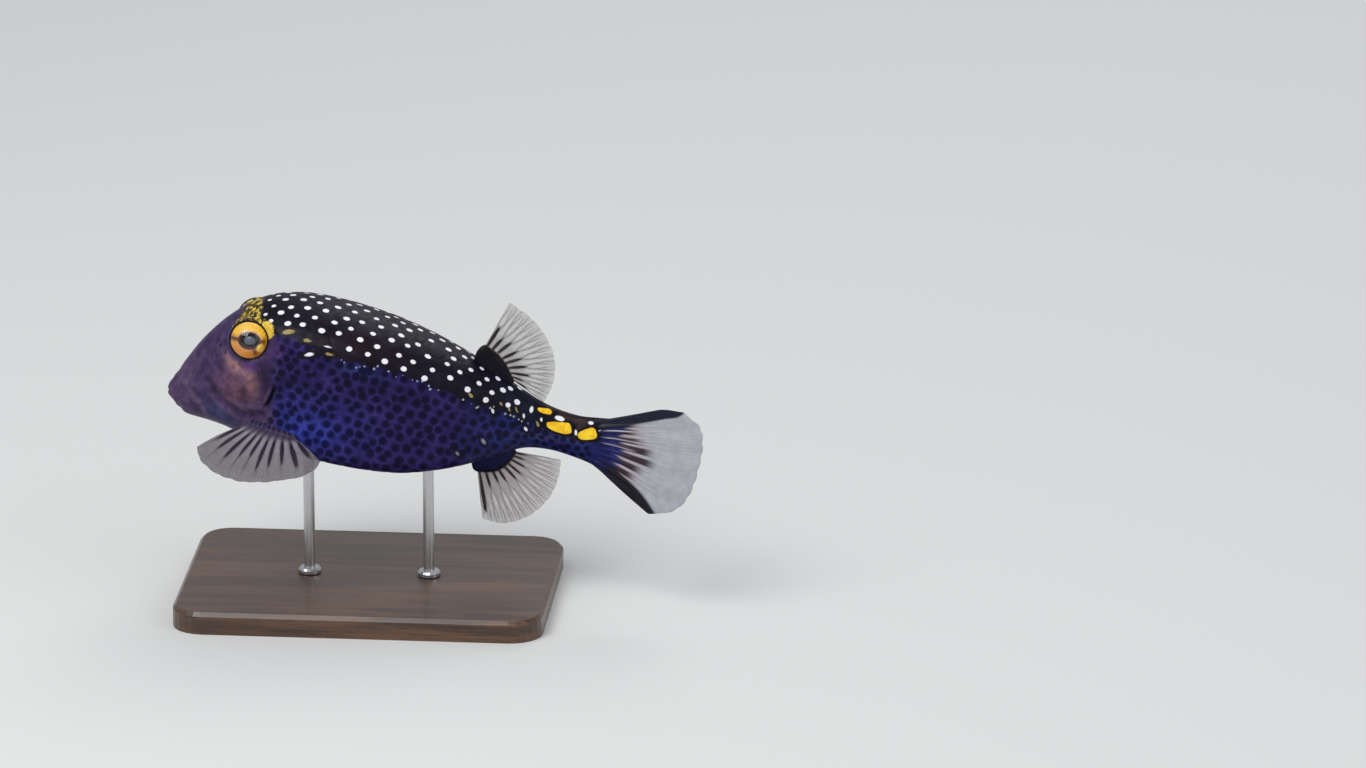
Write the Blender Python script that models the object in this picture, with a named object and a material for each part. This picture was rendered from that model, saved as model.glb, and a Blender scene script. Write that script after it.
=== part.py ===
"""A male spotted boxfish, Ostracion meleagris, as a still life-size model on a plain display stand.

The fish is measured in millimetres in its own axes: x runs from the snout to the tail, y is sideways
with the fish's left at minus y, and z is up from the level of the mouth. place() bends the tail, pitches
the nose up and lifts the fish over its stand, which gives metres in the model's frame. Each part of the
fish is a closed solid, and neighbours keep a gap of GAP between their faces."""

import functools
import math

import bmesh
import bpy
from mathutils import Vector

# Driving sizes, in millimetres and degrees
BODY_LENGTH = 136.0
GAP = 0.3
NOSE_UP = 4.9
TAIL_BEND = 18.0
BEND_START = 110.0
MOUTH_HEIGHT = 66.0
HEAD_END = 37.0
CARAPACE_END = 113.0
BODY_COLUMNS = 38
HEAD_RINGS = 14
STALK_COLUMNS = 24
STALK_RINGS = 8
MUZZLE_FACE = 0.6
MUZZLE_ROUND = 4.0
CHEEK_AT = (24.0, 8.0)
CHEEK_REACH = 7.5
CHEEK_RISE = 0.9

# Eyes
EYE_RADIUS = 6.2
EYE_DEPTH = 2.4
EYE_AT = Vector((24.6, -13.4, 23.6))
EYE_AXIS = Vector((-0.06, -0.97, 0.20)).normalized()
EYE_SEGMENTS = 22
EYE_RINGS = 12
ORBIT_SEGMENTS = 26
ORBIT = ((5.6, 3.0), (6.4, 2.8), (6.85, 2.2), (7.1, 1.0), (7.1, -0.6), (6.4, -2.8), (4.6, -5.2))

# Nostrils and gill openings, on the skin of each side
NOSTRILS = ((15.6, 19.6, 0.95, 0.5), (17.4, 17.9, 0.0, 0.42))
NOSTRIL_RISE = 0.4
NOSTRIL_DEPTH = 1.0
GILL_TOP = (33.5, 11.9)
GILL_MIDDLE = (32.6, 7.6)
GILL_FOOT = (30.7, 3.3)
GILL_HALF_WIDTH = 0.45
GILL_DEPTH = 1.3
FLAP_RISE = 0.5
FLAP_HALF_WIDTH = 0.9
FLAP_FORWARD = 1.1
FLAP_DEPTH = 1.0

# Mouth
MOUTH_Z = 0.5
LIP_HALF_WIDTH = 3.7
LIP_HEIGHT = 2.5
LIP_REACH = 1.5
LIP_END_HEIGHT = 0.35
LIP_END_REACH = 0.5

# Shell plates, in rings along the body and PLATES_ROUND to a ring
PLATES_ROUND = 19
PLATE_RINGS = 11
FIRST_PLATE = 8.2
LAST_PLATE = 5.6
PLATE_SHARE = 0.76
GROOVE_DEPTH = 0.45
PLATE_CROWN = 0.12

# Fins
SHEET_ROWS = 7
RAYS = {"dorsal": 9, "anal": 9, "caudal": 10, "pectoral": 10}
SHEET_HALF = 0.25
SHEET_ROOT_HALF = 0.3
RAY_HALF = 0.3
RAY_ROOT_HALF = 0.58
RAY_SPREAD = 0.27
FIN_CUP = 0.004
PECTORAL_CUP = 0.006
PECTORAL_ROOT = Vector((31.6, -17.8, 0.0))
PECTORAL_OUT = Vector((-0.25, -0.70, -0.66)).normalized()
PECTORAL_BACK = Vector((0.96, -0.26, -0.09)).normalized()
PECTORAL_ROOT_REACH = 3.8
LOBE_HALVES = (0.7, 1.6, 2.4, 2.8)
LOBE_DEPTH = 3.5
LOBE_STEPS = 10
PECTORAL_LOBE_HALVES = (0.7, 1.3, 1.8, 2.1)
PECTORAL_LOBE_DEPTH = 3.0

# Stand
BASE_SIZE = (116.0, 84.0, 7.0)
BASE_CORNER = 10.0
BASE_EDGE = 1.2
BASE_AT_X = 62.0
ROD_RADIUS = 1.75
ROD_FOOT_RADIUS = 3.6
ROD_FOOT_HEIGHT = 1.6
ROD_SEGMENTS = 20
ROD_AT = {"front": 44.0, "rear": 82.0}


def smooth(*points):
    """A function whose curve runs through the points, with the slope at each taken from its neighbours."""
    xs = [p[0] for p in points]
    ys = [p[1] for p in points]
    last = len(xs) - 1
    slopes = []
    for i in range(last + 1):
        a, b = max(0, i - 1), min(last, i + 1)
        slopes.append((ys[b] - ys[a]) / (xs[b] - xs[a]))

    @functools.lru_cache(maxsize=None)
    def value(x):
        if x <= xs[0]:
            return ys[0] + slopes[0] * (x - xs[0])
        if x >= xs[last]:
            return ys[last] + slopes[last] * (x - xs[last])
        i = max(k for k in range(last) if xs[k] <= x)
        step = xs[i + 1] - xs[i]
        t = (x - xs[i]) / step
        start = (2 * t**3 - 3 * t**2 + 1) * ys[i] + (t**3 - 2 * t**2 + t) * step * slopes[i]
        return start + (3 * t**2 - 2 * t**3) * ys[i + 1] + (t**3 - t**2) * step * slopes[i + 1]

    return value


# Outlines of the body along its length: midlines of the back and belly, and the four long ridges
back = smooth(
    (0, 4.35), (3, 9.1), (9, 18.2), (17, 26.6), (27, 33.0), (40, 35.7), (54, 34.6), (70, 30.9),
    (86, 25.2), (98, 19.6), (108, 14.0), (118, 9.5), (128, 7.9), (136, 8.5),
)
belly = smooth(
    (0, -5.3), (4, -7), (10, -8), (20, -9.3), (35, -11.3), (50, -13.6), (66, -15), (82, -14.3),
    (94, -12), (104, -9), (112, -5.8), (120, -4.6), (128, -5), (136, -6.8),
)
upper_ridge_z = smooth(
    (0, 2.4), (8, 10.5), (16, 19), (24, 25.1), (32, 27.4), (45, 26.8), (60, 24.7), (80, 19.9),
    (95, 14.7), (110, 9.1), (120, 6.4), (136, 6.4),
)
upper_ridge_y = smooth(
    (0, 3.8), (8, 7), (16, 10.6), (24, 14.2), (34, 18.2), (45, 20.6), (60, 21.6), (76, 19.8),
    (92, 15), (105, 9.3), (114, 5.6), (124, 3.7), (136, 2.3),
)
lower_ridge_z = smooth(
    (0, -3.6), (10, -6.2), (20, -7.5), (30, -8.8), (45, -11), (60, -12.3), (75, -12.7), (88, -11.1),
    (98, -8.8), (110, -3.8), (120, -2.3), (136, -3.3),
)
lower_ridge_y = smooth(
    (0, 4.2), (10, 9), (20, 13.8), (30, 18), (45, 21.8), (60, 23), (76, 21.6), (92, 15.5), (105, 8.7),
    (114, 5), (124, 3.4), (136, 2),
)
boxiness = smooth((0, 0), (12, 0.25), (26, 0.85), (40, 1), (90, 1), (108, 0.6), (118, 0.1), (136, 0))
side_hollow = smooth((0, 0), (15, 0.6), (40, 1), (70, 1.4), (95, 0.8), (112, 0), (136, 0))

# A place round the body is t, in plate widths from the midline of the back: plus on the fish's right
RIDGE_T, KEEL_T, HALF_T = 2.5, 7.0, 9.5
ROUNDING = 0.85
ROUNDING_WEIGHTS = ((-1, 1), (-0.5, 2), (0, 2.5), (0.5, 2), (1, 1))


def sharp_section(x, t):
    """y and z of the four-sided box at x, with sharp ridges."""
    side = 1.0
    if t < 0:
        t, side = -t, -side
    if t > HALF_T:
        t, side = 2 * HALF_T - t, -side
    ridge_y, ridge_z = upper_ridge_y(x), upper_ridge_z(x)
    keel_y, keel_z = lower_ridge_y(x), lower_ridge_z(x)
    if t < RIDGE_T:
        r = t / RIDGE_T
        y, z = ridge_y * r, ridge_z + (back(x) - ridge_z) * (1 - r * r)
    elif t < KEEL_T:
        r = (t - RIDGE_T) / (KEEL_T - RIDGE_T)
        y = ridge_y + (keel_y - ridge_y) * r - side_hollow(x) * 4 * r * (1 - r)
        z = ridge_z + (keel_z - ridge_z) * r
    else:
        r = (HALF_T - t) / (HALF_T - KEEL_T)
        y, z = keel_y * r, belly(x) + (keel_z - belly(x)) * r * r
    return y * side, z


def section(x, t):
    """y and z of the body's skin at x: the box with its ridges rounded off, turning oval at both ends."""
    total = sum(weight for _, weight in ROUNDING_WEIGHTS)
    corners = [(sharp_section(x, t + shift * ROUNDING), weight) for shift, weight in ROUNDING_WEIGHTS]
    box_y = sum(p[0] * weight for p, weight in corners) / total
    box_z = sum(p[1] * weight for p, weight in corners) / total
    middle, tall = (back(x) + belly(x)) / 2, (back(x) - belly(x)) / 2
    wide = max(upper_ridge_y(x), lower_ridge_y(x)) * 0.98
    angle = math.pi * t / HALF_T
    box = min(1.0, max(0.0, boxiness(x)))
    y = box * box_y + (1 - box) * wide * math.sin(angle)
    z = box * box_z + (1 - box) * (middle + tall * math.cos(angle))
    if x < MUZZLE_ROUND:
        shrink = math.sqrt(max(0.0, 1 - ((MUZZLE_ROUND - x) / (MUZZLE_ROUND + MUZZLE_FACE)) ** 2))
        y, z = y * shrink, MOUTH_Z + (z - MOUTH_Z) * shrink
    return y, z


def cheek_swell(x, z):
    """How far the cheek muscle lifts the skin under the eye."""
    far = math.hypot(x - CHEEK_AT[0], z - CHEEK_AT[1]) / CHEEK_REACH
    return CHEEK_RISE * math.exp(-far * far)


def skin(x, t, lift=0.0):
    """A point on the body's skin, or lift outside it."""
    y, z = section(x, t)
    if HALF_T * 0.2 < abs(t) < HALF_T * 0.85:
        lift += cheek_swell(x, z)
    step = 0.3
    ahead, behind = section(x + step, t), section(x - step, t)
    right, left = section(x, t + step), section(x, t - step)
    along = Vector((2 * step, ahead[0] - behind[0], ahead[1] - behind[1]))
    around = Vector((0, right[0] - left[0], right[1] - left[1]))
    return Vector((x, y, z)) + along.cross(around).normalized() * lift


def bent(p):
    """The point after the tail's sideways bend, which turns it evenly towards the fish's left."""
    if p.x <= BEND_START:
        return p.copy()
    length = BODY_LENGTH - BEND_START
    full = math.radians(TAIL_BEND)
    angle = full * min(1.0, (p.x - BEND_START) / length)
    radius = length / full
    past = max(0.0, p.x - BODY_LENGTH)
    x = BEND_START + radius * math.sin(angle) + past * math.cos(angle)
    y = -radius * (1 - math.cos(angle)) - past * math.sin(angle)
    return Vector((x + p.y * math.sin(angle), y + p.y * math.cos(angle), p.z))


def place(p):
    """A point of the fish, in the model's frame and in metres."""
    q = bent(Vector(p))
    pitch = math.radians(NOSE_UP)
    x = q.x * math.cos(pitch) + q.z * math.sin(pitch)
    z = q.z * math.cos(pitch) - q.x * math.sin(pitch)
    return Vector((x, q.y, z + MOUTH_HEIGHT)) * 0.001


def mirrored(p):
    return Vector((p[0], -p[1], p[2]))


def material(name, colour, roughness, metallic=0.0):
    made = bpy.data.materials.new(name)
    made.use_nodes = True
    shader = made.node_tree.nodes["Principled BSDF"]
    shader.inputs["Base Color"].default_value = (*colour, 1)
    shader.inputs["Roughness"].default_value = roughness
    shader.inputs["Metallic"].default_value = metallic
    made.diffuse_color = (*colour, 1)
    return made


def solid(name, points, faces, look=None, fish=True):
    """An object from points in millimetres. With fish, they are the fish's own and are placed."""
    mesh = bpy.data.meshes.new(name)
    metres = [place(p) if fish else Vector(p) * 0.001 for p in points]
    mesh.from_pydata(metres, [], faces)
    work = bmesh.new()
    work.from_mesh(mesh)
    bmesh.ops.recalc_face_normals(work, faces=work.faces)
    work.to_mesh(mesh)
    work.free()
    if look:
        mesh.materials.append(look)
    made = bpy.data.objects.new(name, mesh)
    bpy.context.scene.collection.objects.link(made)
    return made


def loft(rings):
    """Points and triangles of a solid through rings of equal length, closed by a fan at each end."""
    count = len(rings[0])
    points = [p for ring in rings for p in ring]
    faces = []
    for i in range(len(rings) - 1):
        for j in range(count):
            k = (j + 1) % count
            a, b, c, d = i * count + j, i * count + k, (i + 1) * count + k, (i + 1) * count + j
            faces += [(a, b, c), (a, c, d)]
    for ring, start in ((rings[0], 0), (rings[-1], (len(rings) - 1) * count)):
        centre = len(points)
        points.append(sum((Vector(p) for p in ring), Vector()) / count)
        faces += [(centre, start + (j + 1) % count, start + j) for j in range(count)]
    return points, faces


def turned(profile, centre, axis, segments):
    """Points and triangles of a profile of (radius, height) turned round an axis, closed at both ends."""
    across = axis.orthogonal().normalized()
    other = axis.cross(across)
    rings = []
    for radius, height in profile:
        ring = []
        for i in range(segments):
            angle = 2 * math.pi * i / segments
            way = across * math.cos(angle) + other * math.sin(angle)
            ring.append(centre + axis * height + way * radius)
        rings.append(ring)
    return loft(rings)


def ball_profile(radius, steps):
    """Half a circle as a profile for turned(), without its two poles."""
    angles = [math.pi * (i + 0.5) / steps for i in range(steps)]
    return [(radius * math.sin(a), radius * math.cos(a)) for a in angles]


def combine(target, pieces, operation):
    """Joins the pieces to the target, or cuts them from it, in one step, and removes them."""
    group = bpy.data.collections.new("pieces")
    bpy.context.scene.collection.children.link(group)
    for piece in pieces:
        group.objects.link(piece)
        piece.hide_render = True
        piece.display_type = "WIRE"
    step = target.modifiers.new("combine", "BOOLEAN")
    step.operation = operation
    step.operand_type = "COLLECTION"
    step.collection = group
    step.solver = "EXACT"
    graph = bpy.context.evaluated_depsgraph_get()
    done = bpy.data.meshes.new_from_object(target.evaluated_get(graph))
    target.modifiers.remove(step)
    target.data = done
    for piece in pieces:
        bpy.data.objects.remove(piece)
    bpy.data.collections.remove(group)
    keep_largest(target)


def keep_largest(target):
    """Leaves only the closed surface that holds most, in triangles."""
    work = bmesh.new()
    work.from_mesh(target.data)
    bmesh.ops.triangulate(work, faces=work.faces)
    bmesh.ops.remove_doubles(work, verts=work.verts, dist=2e-6)
    left = set(work.faces)
    shells = []
    while left:
        shell, edge = set(), [left.pop()]
        while edge:
            face = edge.pop()
            shell.add(face)
            for side in face.edges:
                for other in side.link_faces:
                    if other in left:
                        left.discard(other)
                        edge.append(other)
        shells.append(shell)

    def volume(shell):
        return abs(sum(f.verts[0].co.dot(f.verts[1].co.cross(f.verts[2].co)) for f in shell))

    best = max(shells, key=volume)
    loose = [f for f in work.faces if f not in best]
    bmesh.ops.delete(work, geom=loose, context="FACES")
    bmesh.ops.recalc_face_normals(work, faces=work.faces)
    work.to_mesh(target.data)
    work.free()


def body_rings(stations, columns, lift=0.0):
    ts = [-HALF_T + 2 * HALF_T * j / columns for j in range(columns)]
    return [[skin(x, t, lift) for t in ts] for x in stations]


def spread(start, end, count, bunch=1.0):
    """Stations from start to end, closer at the start where bunch is over 1."""
    return [start + (end - start) * (i / count) ** bunch for i in range(count + 1)]


def body_cutter():
    """The whole body, larger all round by the gap, to cut what grows from it."""
    stations = spread(MUZZLE_FACE, BODY_LENGTH, 56)
    return solid("body_cutter", *loft(body_rings(stations, 2 * BODY_COLUMNS, GAP)))


def eye_centre(side):
    at = EYE_AT - EYE_AXIS * EYE_DEPTH
    return at if side == "left" else mirrored(at)


def eye_axis(side):
    return EYE_AXIS if side == "left" else mirrored(EYE_AXIS)


def make_eye(side, look):
    profile = ball_profile(EYE_RADIUS, EYE_RINGS)
    solid(f"eye_{side}", *turned(profile, eye_centre(side), eye_axis(side), EYE_SEGMENTS), look)


def flank(x, z, side):
    """The skin point on the flank at x and height z, and the directions out of the skin and round it."""
    low, high = RIDGE_T * 0.4, KEEL_T
    for _ in range(30):
        t = (low + high) / 2
        if section(x, t)[1] > z:
            low = t
        else:
            high = t
    t = t if side == "right" else -t
    p = skin(x, t)
    return p, (skin(x, t, 1) - p).normalized()


def groove(side, depth, rise, half_width, shift):
    """A ridge or a cutter along the gill opening, from depth under the skin to rise above it."""
    gill_x = smooth((0, GILL_TOP[0]), (0.5, GILL_MIDDLE[0]), (1, GILL_FOOT[0]))
    gill_z = smooth((0, GILL_TOP[1]), (0.5, GILL_MIDDLE[1]), (1, GILL_FOOT[1]))
    rings = []
    for i in range(9):
        s = i / 8
        swell = 0.12 + 0.88 * math.sqrt(max(0.0, 1 - (2 * s - 1) ** 2))
        p, out = flank(gill_x(s) + shift, gill_z(s), side)
        after, _ = flank(gill_x(s + 0.02) + shift, gill_z(s + 0.02), side)
        across = out.cross(after - p).normalized() * half_width * swell
        top, foot = out * rise * swell, out * -depth
        ring = [p + foot - across, p + top * 0.5 - across, p + top, p + top * 0.5 + across]
        rings.append(ring + [p + foot + across])
    return loft(rings)


def make_head(look):
    stations = spread(MUZZLE_FACE, HEAD_END - GAP / 2, HEAD_RINGS, 1.2)
    head = solid("head", *loft(body_rings(stations, BODY_COLUMNS)), look)
    raised, cut = [], []
    for side in ("left", "right"):
        centre, axis = eye_centre(side), eye_axis(side)
        ball = ball_profile(EYE_RADIUS + GAP, EYE_RINGS)
        raised.append(solid("orbit", *turned(ORBIT, centre, axis, ORBIT_SEGMENTS)))
        cut.append(solid("socket", *turned(ball, centre, axis, EYE_SEGMENTS)))
        raised.append(solid("flap", *groove(side, FLAP_DEPTH, FLAP_RISE, FLAP_HALF_WIDTH, -FLAP_FORWARD)))
        cut.append(solid("slit", *groove(side, GILL_DEPTH, 1.5, GILL_HALF_WIDTH, 0)))
        for x, z, rim, hole in NOSTRILS:
            p, out = flank(x, z, side)
            if rim:
                profile = ((rim * 1.3, -1.0), (rim * 1.2, 0), (rim, NOSTRIL_RISE), (hole, NOSTRIL_RISE))
                raised.append(solid("nostril", *turned(profile, p, out, 12)))
            cut.append(solid("pit", *turned(((hole * 0.6, -NOSTRIL_DEPTH), (hole, 1.0)), p, out, 10)))
    combine(head, raised, "UNION")
    combine(head, cut, "DIFFERENCE")


def plate_edges():
    """Where the rings of plates meet, from the head to the tail stalk."""
    lengths = [FIRST_PLATE + (LAST_PLATE - FIRST_PLATE) * k / (PLATE_RINGS - 1) for k in range(PLATE_RINGS)]
    start, end = HEAD_END + GAP / 2, CARAPACE_END - GAP / 2
    edges = [start]
    for length in lengths:
        edges.append(edges[-1] + length * (end - start) / sum(lengths))
    return edges


def make_carapace(look):
    """The shell: six-sided plates with sunken seams. Rings of plates are staggered by half a plate."""
    edges = plate_edges()
    points, faces, seams = [], [], {}

    def add(p):
        points.append(p)
        return len(points) - 1

    def seam(edge, half_steps):
        """The point of the zigzag seam at this edge, half_steps half plates round from the belly."""
        key = edge, half_steps % (2 * PLATES_ROUND)
        if key not in seams:
            zig = 0.0
            if 0 < edge < PLATE_RINGS:
                zig = (edges[edge + 1] - edges[edge - 1]) / 12
            points_back = (half_steps + edge) % 2 == 0
            x = edges[edge] + (-zig if points_back else zig)
            seams[key] = add(skin(x, half_steps / 2 - HALF_T, -GROOVE_DEPTH))
        return seams[key]

    for ring in range(PLATE_RINGS):
        for plate in range(PLATES_ROUND):
            middle = 2 * plate + ring % 2
            corners = [(ring, middle - 1), (ring, middle), (ring, middle + 1)]
            corners += [(ring + 1, middle + 1), (ring + 1, middle), (ring + 1, middle - 1)]
            outer = [seam(edge, step) for edge, step in corners]
            xs = [points[i].x for i in outer]
            centre_x, centre_t = sum(xs) / 6, middle / 2 - HALF_T
            crown = add(skin(centre_x, centre_t, PLATE_CROWN))
            inner = []
            for x, (_, step) in zip(xs, corners):
                t = centre_t + (step - middle) / 2 * PLATE_SHARE
                inner.append(add(skin(centre_x + (x - centre_x) * PLATE_SHARE, t)))
            for i in range(6):
                k = (i + 1) % 6
                faces += [(outer[i], outer[k], inner[k]), (outer[i], inner[k], inner[i])]
                faces.append((inner[i], inner[k], crown))
    for edge in (0, PLATE_RINGS):
        rim = [seam(edge, step) for step in range(2 * PLATES_ROUND)]
        centre = add(sum((points[i] for i in rim), Vector()) / len(rim))
        faces += [(centre, rim[i], rim[(i + 1) % len(rim)]) for i in range(len(rim))]
    solid("carapace", points, faces, look)


def make_tail_stalk(look):
    stations = spread(CARAPACE_END + GAP / 2, BODY_LENGTH, STALK_RINGS)
    solid("tail_stalk", *loft(body_rings(stations, STALK_COLUMNS)), look)


def make_lip(name, way, look):
    """A soft half-round pad before the muzzle: way is 1 above the mouth line and -1 below it."""
    rear = MUZZLE_FACE - GAP
    rings = []
    for i in range(13):
        y = LIP_HALF_WIDTH * math.sin(math.pi * (i / 12 - 0.5)) * 0.985
        share = math.sqrt(1 - (y / LIP_HALF_WIDTH) ** 2)
        tall = LIP_END_HEIGHT + (LIP_HEIGHT - LIP_END_HEIGHT) * share
        reach = LIP_END_REACH + LIP_REACH * share**0.8
        ring = [Vector((rear, y, MOUTH_Z + way * GAP / 2))]
        for k in range(7):
            angle = math.pi / 2 * k / 6
            x = rear - reach * math.cos(angle) ** 0.7
            ring.append(Vector((x, y, MOUTH_Z + way * (GAP / 2 + tall * math.sin(angle) ** 0.9))))
        rings.append(ring)
    solid(name, *loft(rings), look)


def fin_frame(at, q, s):
    """A point of a fin's middle surface and the direction square to it."""
    step = 0.02
    along = at(q, s + step) - at(q, s - step)
    across = at(q + step, s) - at(q - step, s)
    return at(q, s), along.cross(across).normalized()


def make_fin(name, at, rays, look):
    """A fan-shaped sheet with a raised ray in every third column. at(q, s) is its middle surface, from the
    first ray to the last and from root to tip."""
    side_step = RAY_SPREAD / (rays - 1)
    columns = []
    for i in range(rays):
        q = side_step + (1 - 2 * side_step) * i / (rays - 1)
        columns += [(q - side_step, False), (q, True), (q + side_step, False)]
    rows = [j / SHEET_ROWS for j in range(SHEET_ROWS + 1)]
    points = []
    for side in (1, -1):
        for q, on_ray in columns:
            for s in rows:
                middle, square = fin_frame(at, q, s)
                thin = s**0.7
                half = RAY_ROOT_HALF + (RAY_HALF - RAY_ROOT_HALF) * thin
                if not on_ray:
                    half = SHEET_ROOT_HALF + (SHEET_HALF - SHEET_ROOT_HALF) * thin
                points.append(middle + square * side * half)
    solid(name, points, sheet_faces(len(columns), len(rows)), look)


def sheet_faces(columns, rows):
    """Triangles of a sheet with two faces, split alike on both, and the strips round its edge."""
    far = columns * rows
    faces = []
    for i in range(columns - 1):
        for j in range(rows - 1):
            a, b = i * rows + j, (i + 1) * rows + j
            c, d = b + 1, a + 1
            faces += [(a, b, c), (a, c, d), (a + far, c + far, b + far), (a + far, d + far, c + far)]
    edge = [j for j in range(rows)]
    edge += [i * rows + rows - 1 for i in range(1, columns)]
    edge += [(columns - 1) * rows + j for j in range(rows - 2, -1, -1)]
    edge += [i * rows for i in range(columns - 2, 0, -1)]
    for a, b in zip(edge, edge[1:] + edge[:1]):
        faces += [(a, b, b + far), (a, b + far, a + far)]
    return faces


class MedianFin:
    """A fin in the fish's middle plane: its rays start on an arc and fan out."""

    def __init__(self, arc, angle, length, lean):
        self.arc_x = smooth(*[(q, x) for q, x, z in arc])
        self.arc_z = smooth(*[(q, z) for q, x, z in arc])
        self.angle = smooth(*angle)
        self.length = smooth(*length)
        self.lean = lean

    def at(self, q, s):
        reach = self.length(q) * s
        angle = math.radians(self.angle(q))
        x = self.arc_x(q) + reach * math.cos(angle)
        z = self.arc_z(q) + reach * math.sin(angle)
        return Vector((x, self.lean * reach + FIN_CUP * reach * reach, z))


DORSAL = MedianFin(
    arc=((0, 96.9, 25.2), (0.25, 100.3, 23.2), (0.5, 103.1, 20.5), (0.75, 105.0, 17.8), (1, 106.7, 15.5)),
    angle=((0, 66), (0.5, 21), (1, -19)),
    length=((0, 16.2), (0.3, 16.2), (0.6, 15.6), (1, 12.8)),
    lean=0.06,
)
ANAL = MedianFin(
    arc=((0, 97.9, -14.9), (0.3, 103.0, -14.2), (0.55, 106.2, -12.0), (0.8, 108.0, -9.5), (1, 108.9, -7.8)),
    angle=((0, -80), (0.5, -44), (1, -3)),
    length=((0, 16.4), (0.12, 18.4), (0.3, 18.8), (0.6, 17.8), (1, 15.0)),
    lean=-0.05,
)
CAUDAL = MedianFin(
    arc=((0, BODY_LENGTH + GAP, 8.0), (0.5, BODY_LENGTH + GAP, 0.8), (1, BODY_LENGTH + GAP, -6.2)),
    angle=((0, 18), (0.5, -7), (1, -33)),
    length=((0, 27.5), (0.18, 32.5), (0.5, 32.5), (0.8, 30.5), (1, 23.5)),
    lean=-0.03,
)

pectoral_angle = smooth((0, -48), (0.5, 8), (1, 64))
pectoral_length = smooth((0, 21.8), (0.1, 23.6), (0.45, 23), (0.75, 24), (0.92, 26.2), (1, 25.5))


def pectoral_at(side):
    """The middle surface of a side fin, spread forward, out and down from below the gill slit."""
    square = PECTORAL_OUT.cross(PECTORAL_BACK).normalized()

    def at(q, s):
        angle = math.radians(pectoral_angle(q))
        reach = PECTORAL_ROOT_REACH + (pectoral_length(q) - PECTORAL_ROOT_REACH) * s
        way = PECTORAL_OUT * math.cos(angle) + PECTORAL_BACK * math.sin(angle)
        p = PECTORAL_ROOT + way * reach + square * PECTORAL_CUP * reach * reach
        return p if side == "left" else mirrored(p)

    return at


def make_lobe(name, at, root_in, widths, look):
    """The fleshy root of a fin, from the fin's first edge down into the body, then cut clear of the body.

    root_in(q) is the buried end, and widths are the half widths from the fin down to that end."""
    rings = []
    for i in range(LOBE_STEPS + 1):
        q = i / LOBE_STEPS
        outer, square = fin_frame(at, q, 0)
        outward = (at(q, 0.05) - at(q, 0)).normalized()
        outer -= outward * GAP
        inner = root_in(q)
        share = 0.55 + 0.45 * math.sin(math.pi * q) ** 0.5
        down = []
        for k, half in enumerate(widths):
            p = outer.lerp(inner, (k / (len(widths) - 1)) ** 1.3)
            down.append((p, half * share if k else half))
        ring = [p + square * half for p, half in down] + [p - square * half for p, half in reversed(down)]
        rings.append(ring)
    lobe = solid(name, *loft(rings), look)
    combine(lobe, [body_cutter()], "DIFFERENCE")


def make_stand(wood, steel):
    length, width, height = BASE_SIZE
    corners = []
    for sx, sy, first in ((1, 1, 0), (-1, 1, 90), (-1, -1, 180), (1, -1, 270)):
        cx, cy = sx * (length / 2 - BASE_CORNER), sy * (width / 2 - BASE_CORNER)
        corners += [(cx, cy, math.radians(first + 15 * k)) for k in range(7)]

    def outline(z, inset):
        radius = BASE_CORNER - inset
        ring = [(cx + radius * math.cos(a), cy + radius * math.sin(a)) for cx, cy, a in corners]
        return [Vector((BASE_AT_X + x, y, z)) for x, y in ring]

    rings = [outline(0, 0), outline(height - BASE_EDGE, 0), outline(height, BASE_EDGE)]
    solid("stand_base", *loft(rings), wood, fish=False)
    for name, x in ROD_AT.items():
        top = place((x, 0, belly(x) + 2 * ROD_RADIUS)) * 1000
        foot = Vector((top.x, 0, height + GAP))
        profile = (
            (ROD_FOOT_RADIUS, 0),
            (ROD_FOOT_RADIUS, ROD_FOOT_HEIGHT * 0.6),
            (ROD_FOOT_RADIUS * 0.85, ROD_FOOT_HEIGHT),
            (ROD_RADIUS, ROD_FOOT_HEIGHT),
            (ROD_RADIUS, top.z - foot.z),
        )
        bar = turned(profile, foot, Vector((0, 0, 1)), ROD_SEGMENTS)
        rod = solid(f"stand_rod_{name}", *bar, steel, fish=False)
        combine(rod, [body_cutter()], "DIFFERENCE")


def make_median_fin(name, fin, edge, depth):
    """A fin of the middle plane and its fleshy root, sunk depth past the edge of the body."""
    sheet = material(f"{name}_fin_sheet", (0.42, 0.40, 0.38), 0.4)
    make_fin(f"{name}_fin", fin.at, RAYS[name], sheet)
    first, last = fin.arc_x(0) - 1.8, fin.arc_x(1) - 2.6

    def buried(q):
        x = first + (last - first) * q
        return Vector((x, 0, edge(x) + depth))

    look = material(f"{name}_lobe", (0.02, 0.02, 0.05), 0.5)
    make_lobe(f"{name}_fin_lobe", fin.at, buried, LOBE_HALVES, look)


def make_pectoral_fin(side):
    at = pectoral_at(side)
    sheet = material(f"{side}_fin_sheet", (0.34, 0.30, 0.38), 0.4)
    make_fin(f"pectoral_fin_{side}", at, RAYS["pectoral"], sheet)
    centre, inward = PECTORAL_ROOT, -PECTORAL_OUT
    if side == "right":
        centre, inward = mirrored(centre), mirrored(inward)

    def buried(q):
        return centre + (at(q, 0) - centre) * 0.3 + inward * PECTORAL_LOBE_DEPTH

    look = material(f"{side}_lobe", (0.09, 0.08, 0.20), 0.45)
    make_lobe(f"pectoral_lobe_{side}", at, buried, PECTORAL_LOBE_HALVES, look)


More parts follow.
